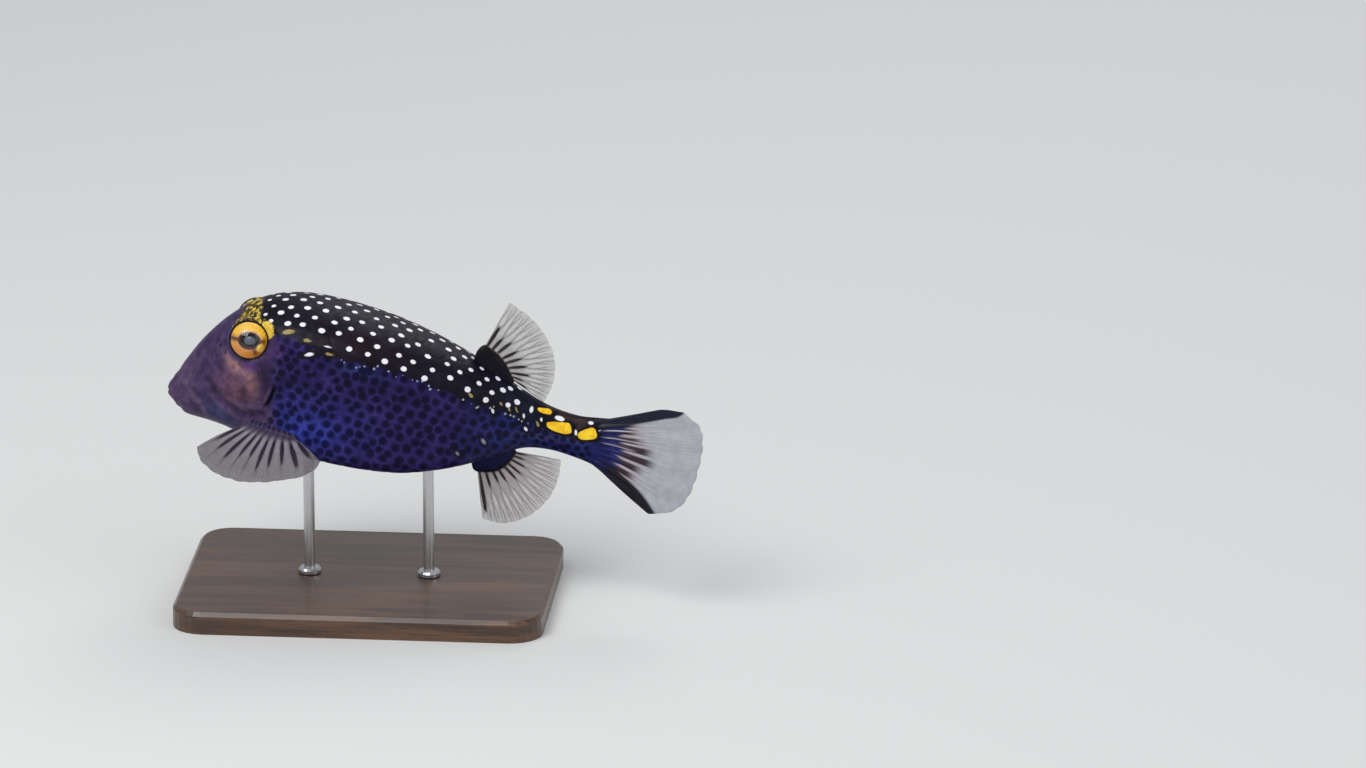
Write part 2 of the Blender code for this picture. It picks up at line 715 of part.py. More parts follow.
def settle():
    """Moves everything so that the origin is under the middle of the model, on the floor."""
    nodes = [o for o in bpy.context.scene.objects if o.type == "MESH"]
    points = [v.co for o in nodes for v in o.data.vertices]
    low = Vector([min(p[k] for p in points) for k in range(3)])
    high = Vector([max(p[k] for p in points) for k in range(3)])
    shift = Vector((-(low.x + high.x) / 2, -(low.y + high.y) / 2, -low.z))
    for node in nodes:
        for vertex in node.data.vertices:
            vertex.co += shift
        node.data.shade_smooth()
        node.data.set_sharp_from_angle(angle=math.radians(35))
    print("moved by", [round(c * 1000, 3) for c in shift], "size", [round(c * 1000, 2) for c in high - low])


def main():
    for old in list(bpy.data.objects):
        bpy.data.objects.remove(old)
    make_head(material("head_skin", (0.10, 0.08, 0.16), 0.45))
    make_lip("upper_lip", 1, material("upper_lip_skin", (0.20, 0.15, 0.20), 0.5))
    make_lip("lower_lip", -1, material("lower_lip_skin", (0.18, 0.13, 0.18), 0.5))
    for side in ("left", "right"):
        make_eye(side, material(f"eye_{side}_ball", (0.75, 0.38, 0.04), 0.12))
    make_carapace(material("carapace_skin", (0.03, 0.04, 0.20), 0.42))
    make_tail_stalk(material("tail_stalk_skin", (0.04, 0.05, 0.24), 0.42))
    make_fin("caudal_fin", CAUDAL.at, RAYS["caudal"], material("caudal_fin_sheet", (0.36, 0.36, 0.40), 0.4))
    make_median_fin("dorsal", DORSAL, back, -LOBE_DEPTH)
    make_median_fin("anal", ANAL, belly, LOBE_DEPTH)
    for side in ("left", "right"):
        make_pectoral_fin(side)
    steel = material("stand_steel", (0.6, 0.6, 0.6), 0.3, 1.0)
    make_stand(material("stand_wood", (0.10, 0.05, 0.03), 0.45), steel)
    settle()


main()
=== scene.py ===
# %% [markdown]
# # A male spotted boxfish, as a museum model
#
# The solid model already gives the fish its size, its outline and its stand. This file dresses it: one
# continuous skin with its dots and colours, glassy eyes, thin fins with branching rays, and a wood and steel
# stand. Each part has a cell of text that says what it is on the real fish, how it could be made, and why it
# is made this way, and then a cell of code that makes it.

import math

import bmesh
import bpy
import numpy as np
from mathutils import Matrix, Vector, kdtree


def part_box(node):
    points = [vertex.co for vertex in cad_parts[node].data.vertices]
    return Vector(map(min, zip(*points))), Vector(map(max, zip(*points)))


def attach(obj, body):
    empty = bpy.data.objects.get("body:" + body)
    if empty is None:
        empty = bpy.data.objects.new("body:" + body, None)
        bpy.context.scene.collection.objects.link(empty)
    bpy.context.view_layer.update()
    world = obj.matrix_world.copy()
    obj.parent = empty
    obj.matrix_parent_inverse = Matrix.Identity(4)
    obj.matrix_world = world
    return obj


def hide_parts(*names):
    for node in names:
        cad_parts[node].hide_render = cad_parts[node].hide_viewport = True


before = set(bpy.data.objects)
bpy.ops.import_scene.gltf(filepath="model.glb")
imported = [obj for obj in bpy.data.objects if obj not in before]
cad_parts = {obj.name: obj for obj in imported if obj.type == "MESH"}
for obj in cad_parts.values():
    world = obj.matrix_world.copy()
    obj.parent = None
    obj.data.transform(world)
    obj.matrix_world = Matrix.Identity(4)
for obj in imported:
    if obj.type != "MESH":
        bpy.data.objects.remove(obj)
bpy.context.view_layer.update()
print("solid model:", len(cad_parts), "nodes")

# %% [markdown]
# ## One ruler for the fish
#
# A fish is easiest to describe in its own axes: x from the snout to the tail, y to its right, z up, all in
# millimetres, and straight as in a drawing. The model, though, has a bent tail and a raised nose, and stands
# in metres. So one function carries every point from the drawing to the model. The stand's base tells where
# the drawing's origin is, because its middle lies under a known place of the fish.

# %% Sizes of the fish and the way from drawing to model
BODY_LENGTH = 136.0
SKIN_END = 140.5
NOSE_UP = math.radians(4.9)
TAIL_BEND = math.radians(18.0)
BEND_START = 110.0
MOUTH_HEIGHT = 66.0
BASE_AT_X = 62.0
MM = 0.001

base_low, base_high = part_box("stand_base")
SHIFT = np.array([(base_low.x + base_high.x) / 2 / MM - BASE_AT_X, (base_low.y + base_high.y) / 2 / MM, 0.0])


def place(points):
    """Points of the drawing, in millimetres, as points of the model, in metres."""
    p = np.asarray(points, float)
    length = BODY_LENGTH - BEND_START
    radius = length / TAIL_BEND
    turn = TAIL_BEND * np.clip((p[..., 0] - BEND_START) / length, 0, 1)
    past = np.maximum(0, p[..., 0] - BODY_LENGTH)
    straight = p[..., 0] <= BEND_START
    x = BEND_START + radius * np.sin(turn) + past * np.cos(turn) + p[..., 1] * np.sin(turn)
    y = -radius * (1 - np.cos(turn)) - past * np.sin(turn) + p[..., 1] * np.cos(turn)
    x = np.where(straight, p[..., 0], x)
    y = np.where(straight, p[..., 1], y)
    z = p[..., 2]
    raised_x = x * math.cos(NOSE_UP) + z * math.sin(NOSE_UP)
    raised_z = z * math.cos(NOSE_UP) - x * math.sin(NOSE_UP) + MOUTH_HEIGHT
    return (np.stack([raised_x, y, raised_z], -1) + SHIFT) * MM


print("the drawing's snout lies at", place([0, 0, 0]).round(4).tolist())

# %% [markdown]
# ## Camera, floor and light
#
# The fish is seen from its left, a little from the tail's side and from above, with its nose a bit up. The
# long lens keeps the near and the far side alike in size, as in a picture taken from well away. The floor is
# plain and pale, and big soft lamps give gentle shading. A strong small lamp would show the relief better,
# but it would also burn white patches into the dark skin. The plain Standard view shows each colour as it is
# mixed, and doesn't pale the deep blues and yellows.

# %% Camera
AZIMUTH, ELEVATION = 5.0, 18.0
PHOTO_WIDTH, PIXELS_A_MM = 1366, 3.2
FRAME_WIDTH_MM = PHOTO_WIDTH / PIXELS_A_MM
LENS_MM, SENSOR_MM = 250.0, 36.0
AIM_RIGHT_MM, AIM_UP_MM, AIM_NEAR_MM = 160.3, 1.9, 7.0


def direction(azimuth, elevation):
    """The way from the fish to a place round it, from two angles in degrees. Azimuth 0 is in front of the
    fish's left side, and 90 is behind its tail."""
    a, e = math.radians(azimuth), math.radians(elevation)
    return Vector((math.sin(a) * math.cos(e), -math.cos(a) * math.cos(e), math.sin(e)))


right = Vector((math.cos(math.radians(AZIMUTH)), math.sin(math.radians(AZIMUTH)), 0))
towards = direction(AZIMUTH, ELEVATION)
up = towards.cross(right)
mouth_origin = Vector(SHIFT) + Vector((0, 0, MOUTH_HEIGHT))
aim = (mouth_origin + right * AIM_RIGHT_MM + up * AIM_UP_MM + towards * AIM_NEAR_MM) * MM
distance = FRAME_WIDTH_MM * LENS_MM / SENSOR_MM * MM

camera_data = bpy.data.cameras.new("camera")
camera_data.lens = LENS_MM
camera_data.sensor_width = SENSOR_MM
camera_data.clip_start = 0.01
camera = bpy.data.objects.new("camera", camera_data)
camera.location = aim + towards * distance
camera.rotation_euler = towards.to_track_quat("Z", "Y").to_euler()
bpy.context.scene.collection.objects.link(camera)
bpy.context.scene.camera = camera
print("camera", round(distance, 3), "m away,", round(camera.location.z, 3), "m above the floor")

# %% Floor
FLOOR_HALF = 3.0
FLOOR_CORNERS = ((-1, -1), (1, -1), (1, 1), (-1, 1))
floor_mesh = bpy.data.meshes.new("floor")
floor_mesh.from_pydata([(FLOOR_HALF * x, FLOOR_HALF * y, 0) for x, y in FLOOR_CORNERS], [], [(0, 1, 2, 3)])
floor = bpy.data.objects.new("floor", floor_mesh)
bpy.context.scene.collection.objects.link(floor)
paper = bpy.data.materials.new("pale_floor")
paper.use_nodes = True
paper_shader = paper.node_tree.nodes["Principled BSDF"]
paper_shader.inputs["Base Color"].default_value = (0.70, 0.70, 0.69, 1)
paper_shader.inputs["Roughness"].default_value = 0.9
floor_mesh.materials.append(paper)
print("floor:", 2 * FLOOR_HALF, "m square")

# %% Lamps and the light of the room
LAMP_AIM = Vector((-0.01, 0, 0.06))


def lamp(name, azimuth, elevation, far, size, watts, colour=(1, 1, 1)):
    """A square soft lamp that looks at the fish."""
    way = direction(azimuth, elevation)
    light = bpy.data.lights.new(name, "AREA")
    light.size = size
    light.energy = watts
    light.color = colour
    holder = bpy.data.objects.new(name, light)
    holder.location = LAMP_AIM + way * far
    holder.rotation_euler = way.to_track_quat("Z", "Y").to_euler()
    bpy.context.scene.collection.objects.link(holder)


lamp("key_lamp", -35, 52, 1.3, 0.8, 11)
lamp("fill_lamp", 60, 25, 1.5, 1.0, 3.5, (0.95, 0.97, 1))
lamp("rear_lamp", 160, 45, 1.4, 0.8, 4)
world = bpy.data.worlds.new("room")
world.use_nodes = True
room_light = world.node_tree.nodes["Background"]
room_light.inputs["Color"].default_value = (0.92, 0.95, 1.0, 1)
room_light.inputs["Strength"].default_value = 0.46
bpy.context.scene.world = world
bpy.context.scene.view_settings.view_transform = "Standard"
print("lamps:", [light.name for light in bpy.data.lights])

# %% [markdown]
# ## The shape of the body
#
# A boxfish's body is a rigid box of bony plates: a flat back, two flat flanks and a flat belly that meet in
# long ridges. It could be sculpted, but a few profiles say it better: the midlines of back and belly, and
# the height and half width of the upper and lower ridge. A smooth curve runs through the points of each
# profile. A place on the skin is then two numbers: x along the fish, and t round it, from 0 on the midline
# of the back to 9.5 on the midline of the belly, plus on the fish's right.

# %% Profiles
def curve(*points):
    """A smooth function through the points, for single values and for arrays alike."""
    xs, ys = np.array(points, float).T
    slopes = np.gradient(ys)
    slopes[1:-1] = (ys[2:] - ys[:-2]) / (xs[2:] - xs[:-2])
    slopes[0] = (ys[1] - ys[0]) / (xs[1] - xs[0])
    slopes[-1] = (ys[-1] - ys[-2]) / (xs[-1] - xs[-2])

    def value(x):
        x = np.asarray(x, float)
        i = np.clip(np.searchsorted(xs, x, side="right") - 1, 0, len(xs) - 2)
        step = xs[i + 1] - xs[i]
        t = np.clip((x - xs[i]) / step, 0, 1)
        inside = (2 * t**3 - 3 * t**2 + 1) * ys[i] + (t**3 - 2 * t**2 + t) * step * slopes[i]
        inside = inside + (3 * t**2 - 2 * t**3) * ys[i + 1] + (t**3 - t**2) * step * slopes[i + 1]
        before, after = np.minimum(x - xs[0], 0), np.maximum(x - xs[-1], 0)
        return inside + slopes[0] * before + slopes[-1] * after

    return value


back = curve(
    (0, 4.35), (3, 9.1), (9, 18.3), (17, 27.0), (27, 33.7), (40, 36.1), (54, 34.6), (70, 30.9),
    (86, 25.2), (98, 19.6), (108, 13.8), (118, 8.8), (128, 6.9), (136, 7.6), (140.5, 8.3),
)
belly = curve(
    (0, -4.6), (4, -6.6), (10, -7.5), (20, -8.9), (35, -11.2), (50, -13.6), (66, -15), (82, -14.3),
    (94, -12), (104, -9), (112, -6.1), (120, -5.6), (128, -6.7), (134, -8.0), (136, -9.0), (140.5, -11.7),
)
upper_ridge_z = curve(
    (0, 2.4), (8, 10.5), (16, 19), (24, 25.1), (32, 27.4), (45, 26.8), (60, 24.7), (80, 19.9),
    (95, 14.7), (110, 9.1), (120, 6.4), (136, 6.4),
)
upper_ridge_y = curve(
    (0, 3.8), (8, 7), (16, 10.6), (24, 14.2), (34, 18.2), (45, 20.6), (60, 21.6), (76, 19.8),
    (92, 15), (105, 9.3), (114, 5.6), (124, 3.7), (134, 2.5), (137.5, 1.4), (140.5, 0.3),
)
lower_ridge_z = curve(
    (0, -3.6), (10, -6.2), (20, -7.5), (30, -8.8), (45, -11), (60, -12.3), (75, -12.7), (88, -11.1),
    (98, -8.8), (110, -3.8), (120, -2.3), (136, -3.3),
)
lower_ridge_y = curve(
    (0, 4.2), (10, 9), (20, 13.8), (30, 18), (45, 21.8), (60, 23), (76, 21.6), (92, 15.5), (105, 8.7),
    (114, 5), (124, 3.4), (134, 2.3), (137.5, 1.3), (140.5, 0.3),
)
boxiness = curve((0, 0), (12, 0.25), (26, 0.85), (40, 1), (90, 1), (108, 0.6), (118, 0.1), (136, 0))
side_hollow = curve((0, 0), (15, 0.6), (40, 1), (70, 1.4), (95, 0.8), (112, 0), (136, 0))

# %% Cross-sections and the skin's direction
RIDGE_T, KEEL_T, HALF_T = 2.5, 7.0, 9.5
ROUNDING = 0.85
ROUNDING_WEIGHTS = ((-1, 1), (-0.5, 2), (0, 2.5), (0.5, 2), (1, 1))
OVAL_WIDTH = 0.98
MUZZLE_FACE, MUZZLE_ROUND, MOUTH_Z = 0.6, 4.0, 0.5


def sharp_section(x, t):
    """y and z of the four-sided box at x, with sharp ridges."""
    side = np.where(t < 0, -1.0, 1.0)
    t = np.abs(t)
    side = np.where(t > HALF_T, -side, side)
    t = np.where(t > HALF_T, 2 * HALF_T - t, t)
    ridge_y, ridge_z = upper_ridge_y(x), upper_ridge_z(x)
    keel_y, keel_z, low = lower_ridge_y(x), lower_ridge_z(x), belly(x)
    on_back, under = t / RIDGE_T, (HALF_T - t) / (HALF_T - KEEL_T)
    on_side = (t - RIDGE_T) / (KEEL_T - RIDGE_T)
    side_y = ridge_y + (keel_y - ridge_y) * on_side - side_hollow(x) * 4 * on_side * (1 - on_side)
    side_z = ridge_z + (keel_z - ridge_z) * on_side
    y = np.where(t < RIDGE_T, ridge_y * on_back, np.where(t < KEEL_T, side_y, keel_y * under))
    back_z = ridge_z + (back(x) - ridge_z) * (1 - on_back**2)
    z = np.where(t < RIDGE_T, back_z, np.where(t < KEEL_T, side_z, low + (keel_z - low) * under**2))
    return y * side, z


def section(x, t):
    """y and z of the body at x: the box with rounded ridges, which turns oval at both ends."""
    x, t = np.broadcast_arrays(np.asarray(x, float), np.asarray(t, float))
    total = sum(weight for _, weight in ROUNDING_WEIGHTS)
    corners = [(sharp_section(x, t + shift * ROUNDING), weight) for shift, weight in ROUNDING_WEIGHTS]
    box_y = sum(p[0] * weight for p, weight in corners) / total
    box_z = sum(p[1] * weight for p, weight in corners) / total
    middle, tall = (back(x) + belly(x)) / 2, (back(x) - belly(x)) / 2
    wide = np.maximum(upper_ridge_y(x), lower_ridge_y(x)) * OVAL_WIDTH
    angle = math.pi * t / HALF_T
    box = np.clip(boxiness(x), 0, 1)
    y = box * box_y + (1 - box) * wide * np.sin(angle)
    z = box * box_z + (1 - box) * (middle + tall * np.cos(angle))
    short = np.clip((MUZZLE_ROUND - x) / (MUZZLE_ROUND + MUZZLE_FACE), 0, 1)
    shrink = np.sqrt(1 - short**2)
    return y * shrink, MOUTH_Z + (z - MOUTH_Z) * shrink


def body_point(x, t):
    """A point on the plain body and the direction out of it."""
    step = 0.3
    y, z = section(x, t)
    ahead, behind = section(x + step, t), section(x - step, t)
    right_side, left_side = section(x, t + step), section(x, t - step)
    zero = np.zeros_like(y)
    along = np.stack([zero + 2 * step, ahead[0] - behind[0], ahead[1] - behind[1]], -1)
    around = np.stack([zero, right_side[0] - left_side[0], right_side[1] - left_side[1]], -1)
    out = np.cross(along, around)
    out /= np.linalg.norm(out, axis=-1, keepdims=True) + 1e-9
    return np.stack([x + zero, y, z], -1), out


def smoothstep(low, high, value):
    """0 below low, 1 above high, and a soft rise between."""
    t = np.clip((value - low) / (high - low), 0, 1)
    return t * t * (3 - 2 * t)


widest, _ = body_point(np.array([60.0]), np.array([5.0]))
print("half width of the flank, 60 mm behind the snout:", abs(widest[0, 1]).round(1), "mm")

# %% [markdown]
# ## A mesh for the skin, fine where it matters
#
# One closed sheet covers head, shell and tail stalk, so no joint shows between them. It is laid out flat
# first, as a net with x one way and t the other, and each vertex is then sent to its place on the fish. That
# order lets the net be cut finer round the eyes, gill slits and nostrils before the shape is worked out, so
# that the small forms there get real vertices and not just a bump in the finish. The lips are the last rings
# of the same net, turned out and back in to the line of the mouth.

# %% Where the small forms of the head are
EYE_RADIUS, EYE_DEPTH = 6.3, 2.4
EYE_AT = np.array([24.6, -13.4, 23.6])
EYE_AXIS = np.array([-0.06, -0.97, 0.20]) / np.linalg.norm([-0.06, -0.97, 0.20])
GILL_X = curve((0, 34.2), (0.5, 33.3), (1, 31.3))
GILL_Z = curve((0, 11.6), (0.5, 7.0), (1, 3.2))
NOSTRILS = ((15.6, 19.6, 0.8, 0.36), (17.4, 17.9, 0.0, 0.30))
LIP_SPAN = 6.0
HEAD_END = 37.0
SIDES = {"left": -1, "right": 1}


def to_side(point, side):
    """A point or direction given for the fish's left, on the side that is asked for."""
    p = np.array(point, float)
    p[..., 1] *= -SIDES[side]
    return p


def eye_centre(side):
    return to_side(EYE_AT - EYE_AXIS * EYE_DEPTH, side)


def eye_frame(side):
    """The eye's middle and its three directions: out, towards the tail, and up."""
    centre, out = eye_centre(side), to_side(EYE_AXIS, side)
    tailward = np.array([1.0, 0, 0]) - out * out[0]
    tailward /= np.linalg.norm(tailward)
    rise = np.cross(out, tailward) * (1 if side == "right" else -1)
    return centre, out, tailward, rise * np.sign(rise[2])


def flank_t(x, z):
    """The t on the flank where the skin at x has the height z, by halving the range."""
    low, high = np.full(np.shape(x), RIDGE_T * 0.4), np.full(np.shape(x), KEEL_T)
    for _ in range(30):
        middle = (low + high) / 2
        above = section(x, middle)[1] > z
        low, high = np.where(above, middle, low), np.where(above, high, middle)
    return (low + high) / 2


def on_flank(x, z, side):
    """The skin point on the flank at x and height z, and the direction out of it."""
    x, z = np.atleast_1d(np.asarray(x, float)), np.atleast_1d(np.asarray(z, float))
    return body_point(x, flank_t(x, z) * SIDES[side])


# %% Where the net is cut finer
EYE_CUTS, GILL_CUTS, NOSTRIL_CUTS = (10.3, 9.0), (3.0, 1.8), (2.6, 2.0, 1.4)


def fine_zones():
    """Spots to cut the net finer around, each with its reach in millimetres, for each of three rounds."""
    rounds = ([], [], [])
    along = np.linspace(0, 1, 6)
    for side in SIDES:
        zones = [([eye_centre(side)], EYE_CUTS), (on_flank(GILL_X(along), GILL_Z(along), side)[0], GILL_CUTS)]
        zones += [(on_flank(x, z, side)[0], NOSTRIL_CUTS) for x, z, _, _ in NOSTRILS]
        for spots, reaches in zones:
            for cuts, reach in zip(rounds, reaches):
                cuts.extend((spot, reach) for spot in spots)
    return rounds


def cut_finer(net, cuts):
    """Halves the edges of every face of the head that lies within reach of a spot."""
    faces = [f for f in net.faces if MUZZLE_FACE < f.calc_center_median().x < HEAD_END]
    middles = np.array([f.calc_center_median() for f in faces])
    at, _ = body_point(middles[:, 0], middles[:, 1])
    near = np.zeros(len(faces), bool)
    for spot, reach in cuts:
        near |= np.linalg.norm(at - spot, axis=1) < reach
    edges = dict.fromkeys(edge for face, hit in zip(faces, near) if hit for edge in face.edges)
    bmesh.ops.subdivide_edges(net, edges=list(edges), cuts=1, use_grid_fill=True)


print("spots to cut round:", [len(cuts) for cuts in fine_zones()])

# %% The flat net
BODY_RINGS, LIP_RINGS, AROUND = 290, 22, 270
CROWDING = 1.12


def flat_net():
    """Faces, x and t of the net. x runs below MUZZLE_FACE over the lips. Crowding above 1 sets the rings
    closer together at the snout."""
    stations = MUZZLE_FACE + (SKIN_END - MUZZLE_FACE) * (np.arange(BODY_RINGS + 1) / BODY_RINGS) ** CROWDING
    lips = MUZZLE_FACE - LIP_SPAN * np.arange(LIP_RINGS, 0, -1) / LIP_RINGS
    ts = np.linspace(-HALF_T, HALF_T, AROUND + 1)
    net = bmesh.new()
    rows = [[net.verts.new((x, t, 0)) for t in ts] for x in np.concatenate([lips, stations])]
    for low_row, high_row in zip(rows, rows[1:]):
        for j in range(AROUND):
            net.faces.new((low_row[j], high_row[j], high_row[j + 1], low_row[j + 1]))
    for cuts in fine_zones():
        cut_finer(net, cuts)
    net.verts.index_update()
    places = np.array([v.co for v in net.verts])
    faces = [tuple(v.index for v in f.verts) for f in net.faces]
    net.free()
    return faces, places[:, 0], places[:, 1]


net_faces, net_x, net_t = flat_net()
print("flat net:", len(net_x), "vertices,", len(net_faces), "faces")

# %% [markdown]
# ## Plates, cheek, gill slits, nostrils and eye sockets
#
# Under the thin skin the shell is a mosaic of six-sided plates. On the living fish they show only as faint
# seams, so here they sink the skin by a tenth of a millimetre. Their middles lie in staggered rings, and a
# seam runs wherever the two nearest middles are equally far, which gives six-sided cells by itself. Each
# socket is a low dome round the eyeball with a rounded rim: the skin is pushed straight away from the eye's
# middle, which keeps the mesh even where a straight pull along one axis would stretch it. Skin that would
# lie behind the ball is first swung out towards the rim and then led in under the ball. Without that, a few
# long faces would bridge the gap and smear every mark on them.

# %% Plate seams
PLATES_ROUND, PLATE_RINGS, PLATE_START, PLATE_END = 19, 15, 11.0, 115.0
PLATE_LENGTHS = (9.5, 6.0)
BARE_CHEEK, BARE_REACH = (20, 6), 12


def nearest(points, centres, count=1, stretch=1.0):
    """Distances to the nearest centres and the index of each. Stretch above 1 makes round marks longer
    along the fish."""
    scale = np.array([1 / stretch, 1, 1])
    tree = kdtree.KDTree(len(centres))
    for i, centre in enumerate(centres):
        tree.insert(Vector(centre * scale), i)
    tree.balance()
    found = [tree.find_n(Vector(p), count) for p in points * scale]
    distances = np.array([[hit[2] for hit in hits] for hits in found])
    return distances, np.array([[hit[1] for hit in hits] for hits in found])


def plate_middles():
    """The middles of the plates, in rings round the body. Every second ring is turned by half a plate."""
    middles = []
    steps = np.linspace(*PLATE_LENGTHS, PLATE_RINGS)
    edges = PLATE_START + (PLATE_END - PLATE_START) * np.cumsum(steps) / steps.sum()
    for ring, x in enumerate(edges - steps * 0.5):
        for plate in range(PLATES_ROUND):
            t = (plate + 0.5 * (ring % 2)) * 2 * HALF_T / PLATES_ROUND - HALF_T
            middles.append(body_point(np.array([x]), np.array([t]))[0][0])
    return np.array(middles)


base_points, base_out = body_point(np.maximum(net_x, MUZZLE_FACE), net_t)
plate_distance, _ = nearest(base_points, plate_middles(), count=2)
seam_distance = (plate_distance[:, 1] - plate_distance[:, 0]) / 2
cheek_x, cheek_z = (net_x - BARE_CHEEK[0]) / BARE_REACH, (base_points[:, 2] - BARE_CHEEK[1]) / BARE_REACH
on_cheek = np.exp(-(cheek_x**2) - cheek_z**2)
plated = smoothstep(14, 34, net_x) * smoothstep(117, 108, net_x) * (1 - smoothstep(0.25, 0.7, on_cheek))
print("plates:", PLATES_ROUND * PLATE_RINGS, "seams reach", seam_distance.max().round(2), "mm into a plate")

# %% Distance from a line drawn on the flank
FAR_OFF = 9.0


def line_distance(points, line):
    """Distance from each point to a line of points, how far along it (0 to 1), and which side: plus is
    towards the tail. FAR_OFF stands for a distance, in millimetres, that is too large to matter."""
    best = np.full(len(points), 1e9)
    along = np.zeros(len(points))
    beyond = np.zeros(len(points))
    for i, (a, b) in enumerate(zip(line, line[1:])):
        span = b - a
        share = np.clip(((points - a) @ span) / (span @ span), 0, 1)
        gap = points - (a + share[:, None] * span)
        far = np.linalg.norm(gap, axis=1)
        closer = far < best
        best = np.where(closer, far, best)
        along = np.where(closer, (i + share) / (len(line) - 1), along)
        beyond = np.where(closer, np.sign(gap[:, 0]), beyond)
    return best, along, beyond


def flank_line(x_curve, z_curve, side, count=12):
    """Points on the skin of the flank along a line that two curves draw."""
    s = np.linspace(0, 1, count)
    return on_flank(x_curve(s), z_curve(s), side)[0]


FOLD_X = curve((0, 12.5), (0.35, 17.5), (0.7, 24.6), (1, 31.0))
FOLD_Z = curve((0, 8.5), (0.35, 3.4), (0.7, 0.3), (1, 1.4))
gill_gap = np.full(len(net_x), FAR_OFF)
gill_front = np.full(len(net_x), FAR_OFF)
fold_gap = np.full(len(net_x), FAR_OFF)
gill_share = np.zeros(len(net_x))
for side, sign in SIDES.items():
    mine = np.flatnonzero((net_t * sign > 0) & (net_x > 8) & (net_x < 40))
    far, along, beyond = line_distance(base_points[mine], flank_line(GILL_X, GILL_Z, side))
    narrowing = 0.25 + 0.75 * np.sin(np.pi * np.clip(along, 0.04, 0.96)) ** 0.7
    gill_gap[mine] = far / narrowing
    gill_share[mine] = smoothstep(0.02, 0.35, along) * smoothstep(0.98, 0.7, along)
    gill_front[mine] = np.where(beyond < 0, far, FAR_OFF) / narrowing
    fold_gap[mine] = line_distance(base_points[mine], flank_line(FOLD_X, FOLD_Z, side))[0]
print("vertices within a millimetre of a gill slit:", int((gill_gap < 1).sum()))

# %% Raise and sink the skin
CHEEK_AT, CHEEK_REACH, CHEEK_RISE = (24.0, 8.0), 7.5, 0.9
CHEEK_FROM_T, CHEEK_TO_T = HALF_T * 0.2, HALF_T * 0.85
SEAM_DEPTH, SEAM_WIDTH, PLATE_RISE = 0.10, 0.34, 0.04
GILL_DEPTH, GILL_HALF_WIDTH, FLAP_RISE = 0.9, 0.40, 0.34
FOLD_DEPTH, FOLD_HALF_WIDTH, FOLD_ROLL = 0.26, 1.1, 0.18
NOSTRIL_RIM, NOSTRIL_DEPTH = 0.20, 0.7


def bell(distance, half_width):
    """1 at distance 0, falling softly to both sides."""
    return np.exp(-((distance / half_width) ** 2))


cheek_far = np.hypot(net_x - CHEEK_AT[0], base_points[:, 2] - CHEEK_AT[1]) / CHEEK_REACH
on_flank_side = (np.abs(net_t) > CHEEK_FROM_T) & (np.abs(net_t) < CHEEK_TO_T)
lift = np.where(on_flank_side, CHEEK_RISE * np.exp(-(cheek_far**2)), 0.0)
lift -= plated * SEAM_DEPTH * bell(seam_distance, SEAM_WIDTH)
lift += plated * PLATE_RISE * smoothstep(0, 3.0, seam_distance)
lift -= FOLD_DEPTH * bell(fold_gap, FOLD_HALF_WIDTH)
lift += FOLD_ROLL * bell(fold_gap - 1.4, 0.9)
lift -= GILL_DEPTH * bell(gill_gap, GILL_HALF_WIDTH) * (0.25 + 0.75 * gill_share)
lift += FLAP_RISE * bell(gill_front - 1.1, 0.75) * gill_share
nostril_hole = np.full(len(net_x), FAR_OFF)
for side in SIDES:
    for x, z, rim, hole in NOSTRILS:
        far = np.linalg.norm(base_points - on_flank(x, z, side)[0][0], axis=1)
        if rim:
            lift += NOSTRIL_RIM * bell(far - (rim + hole) / 2, 0.30) * (far < 3)
        lift -= NOSTRIL_DEPTH * smoothstep(hole * 1.25, hole * 0.5, far)
        nostril_hole = np.minimum(nostril_hole, far / hole)
skin_points = base_points + base_out * lift[:, None]
print("the skin is sunk by", -lift.min().round(2), "mm and raised by", lift.max().round(2), "mm at most")

# %% Push the skin out round each eye and in under it
RIM_AT = (6.14, 2.48)
RIM_ANGLE = math.degrees(math.atan2(*RIM_AT))
DOME_RADIUS, RIM_RADIUS, UNDER_EYE = 6.95, math.hypot(*RIM_AT), 1.2
DOME_BLEND = 2.6
DEGREES_A_MM = math.degrees(1 / RIM_RADIUS)
EYE_REACH = 16
SHOULDER_SLOPE, SOCKET_SLOPE, SWING_BLEND = 1.5, 12.0, 3.0
SHOULDER, TURN_IN, BEHIND = (-2, 14), (-3.5, 0.3), (140, 110)


def smooth_max(a, b, blend):
    """The larger of two numbers, with a soft change from one to the other."""
    near = np.maximum(blend - np.abs(a - b), 0) / blend
    return np.maximum(a, b) + near * near * blend / 4


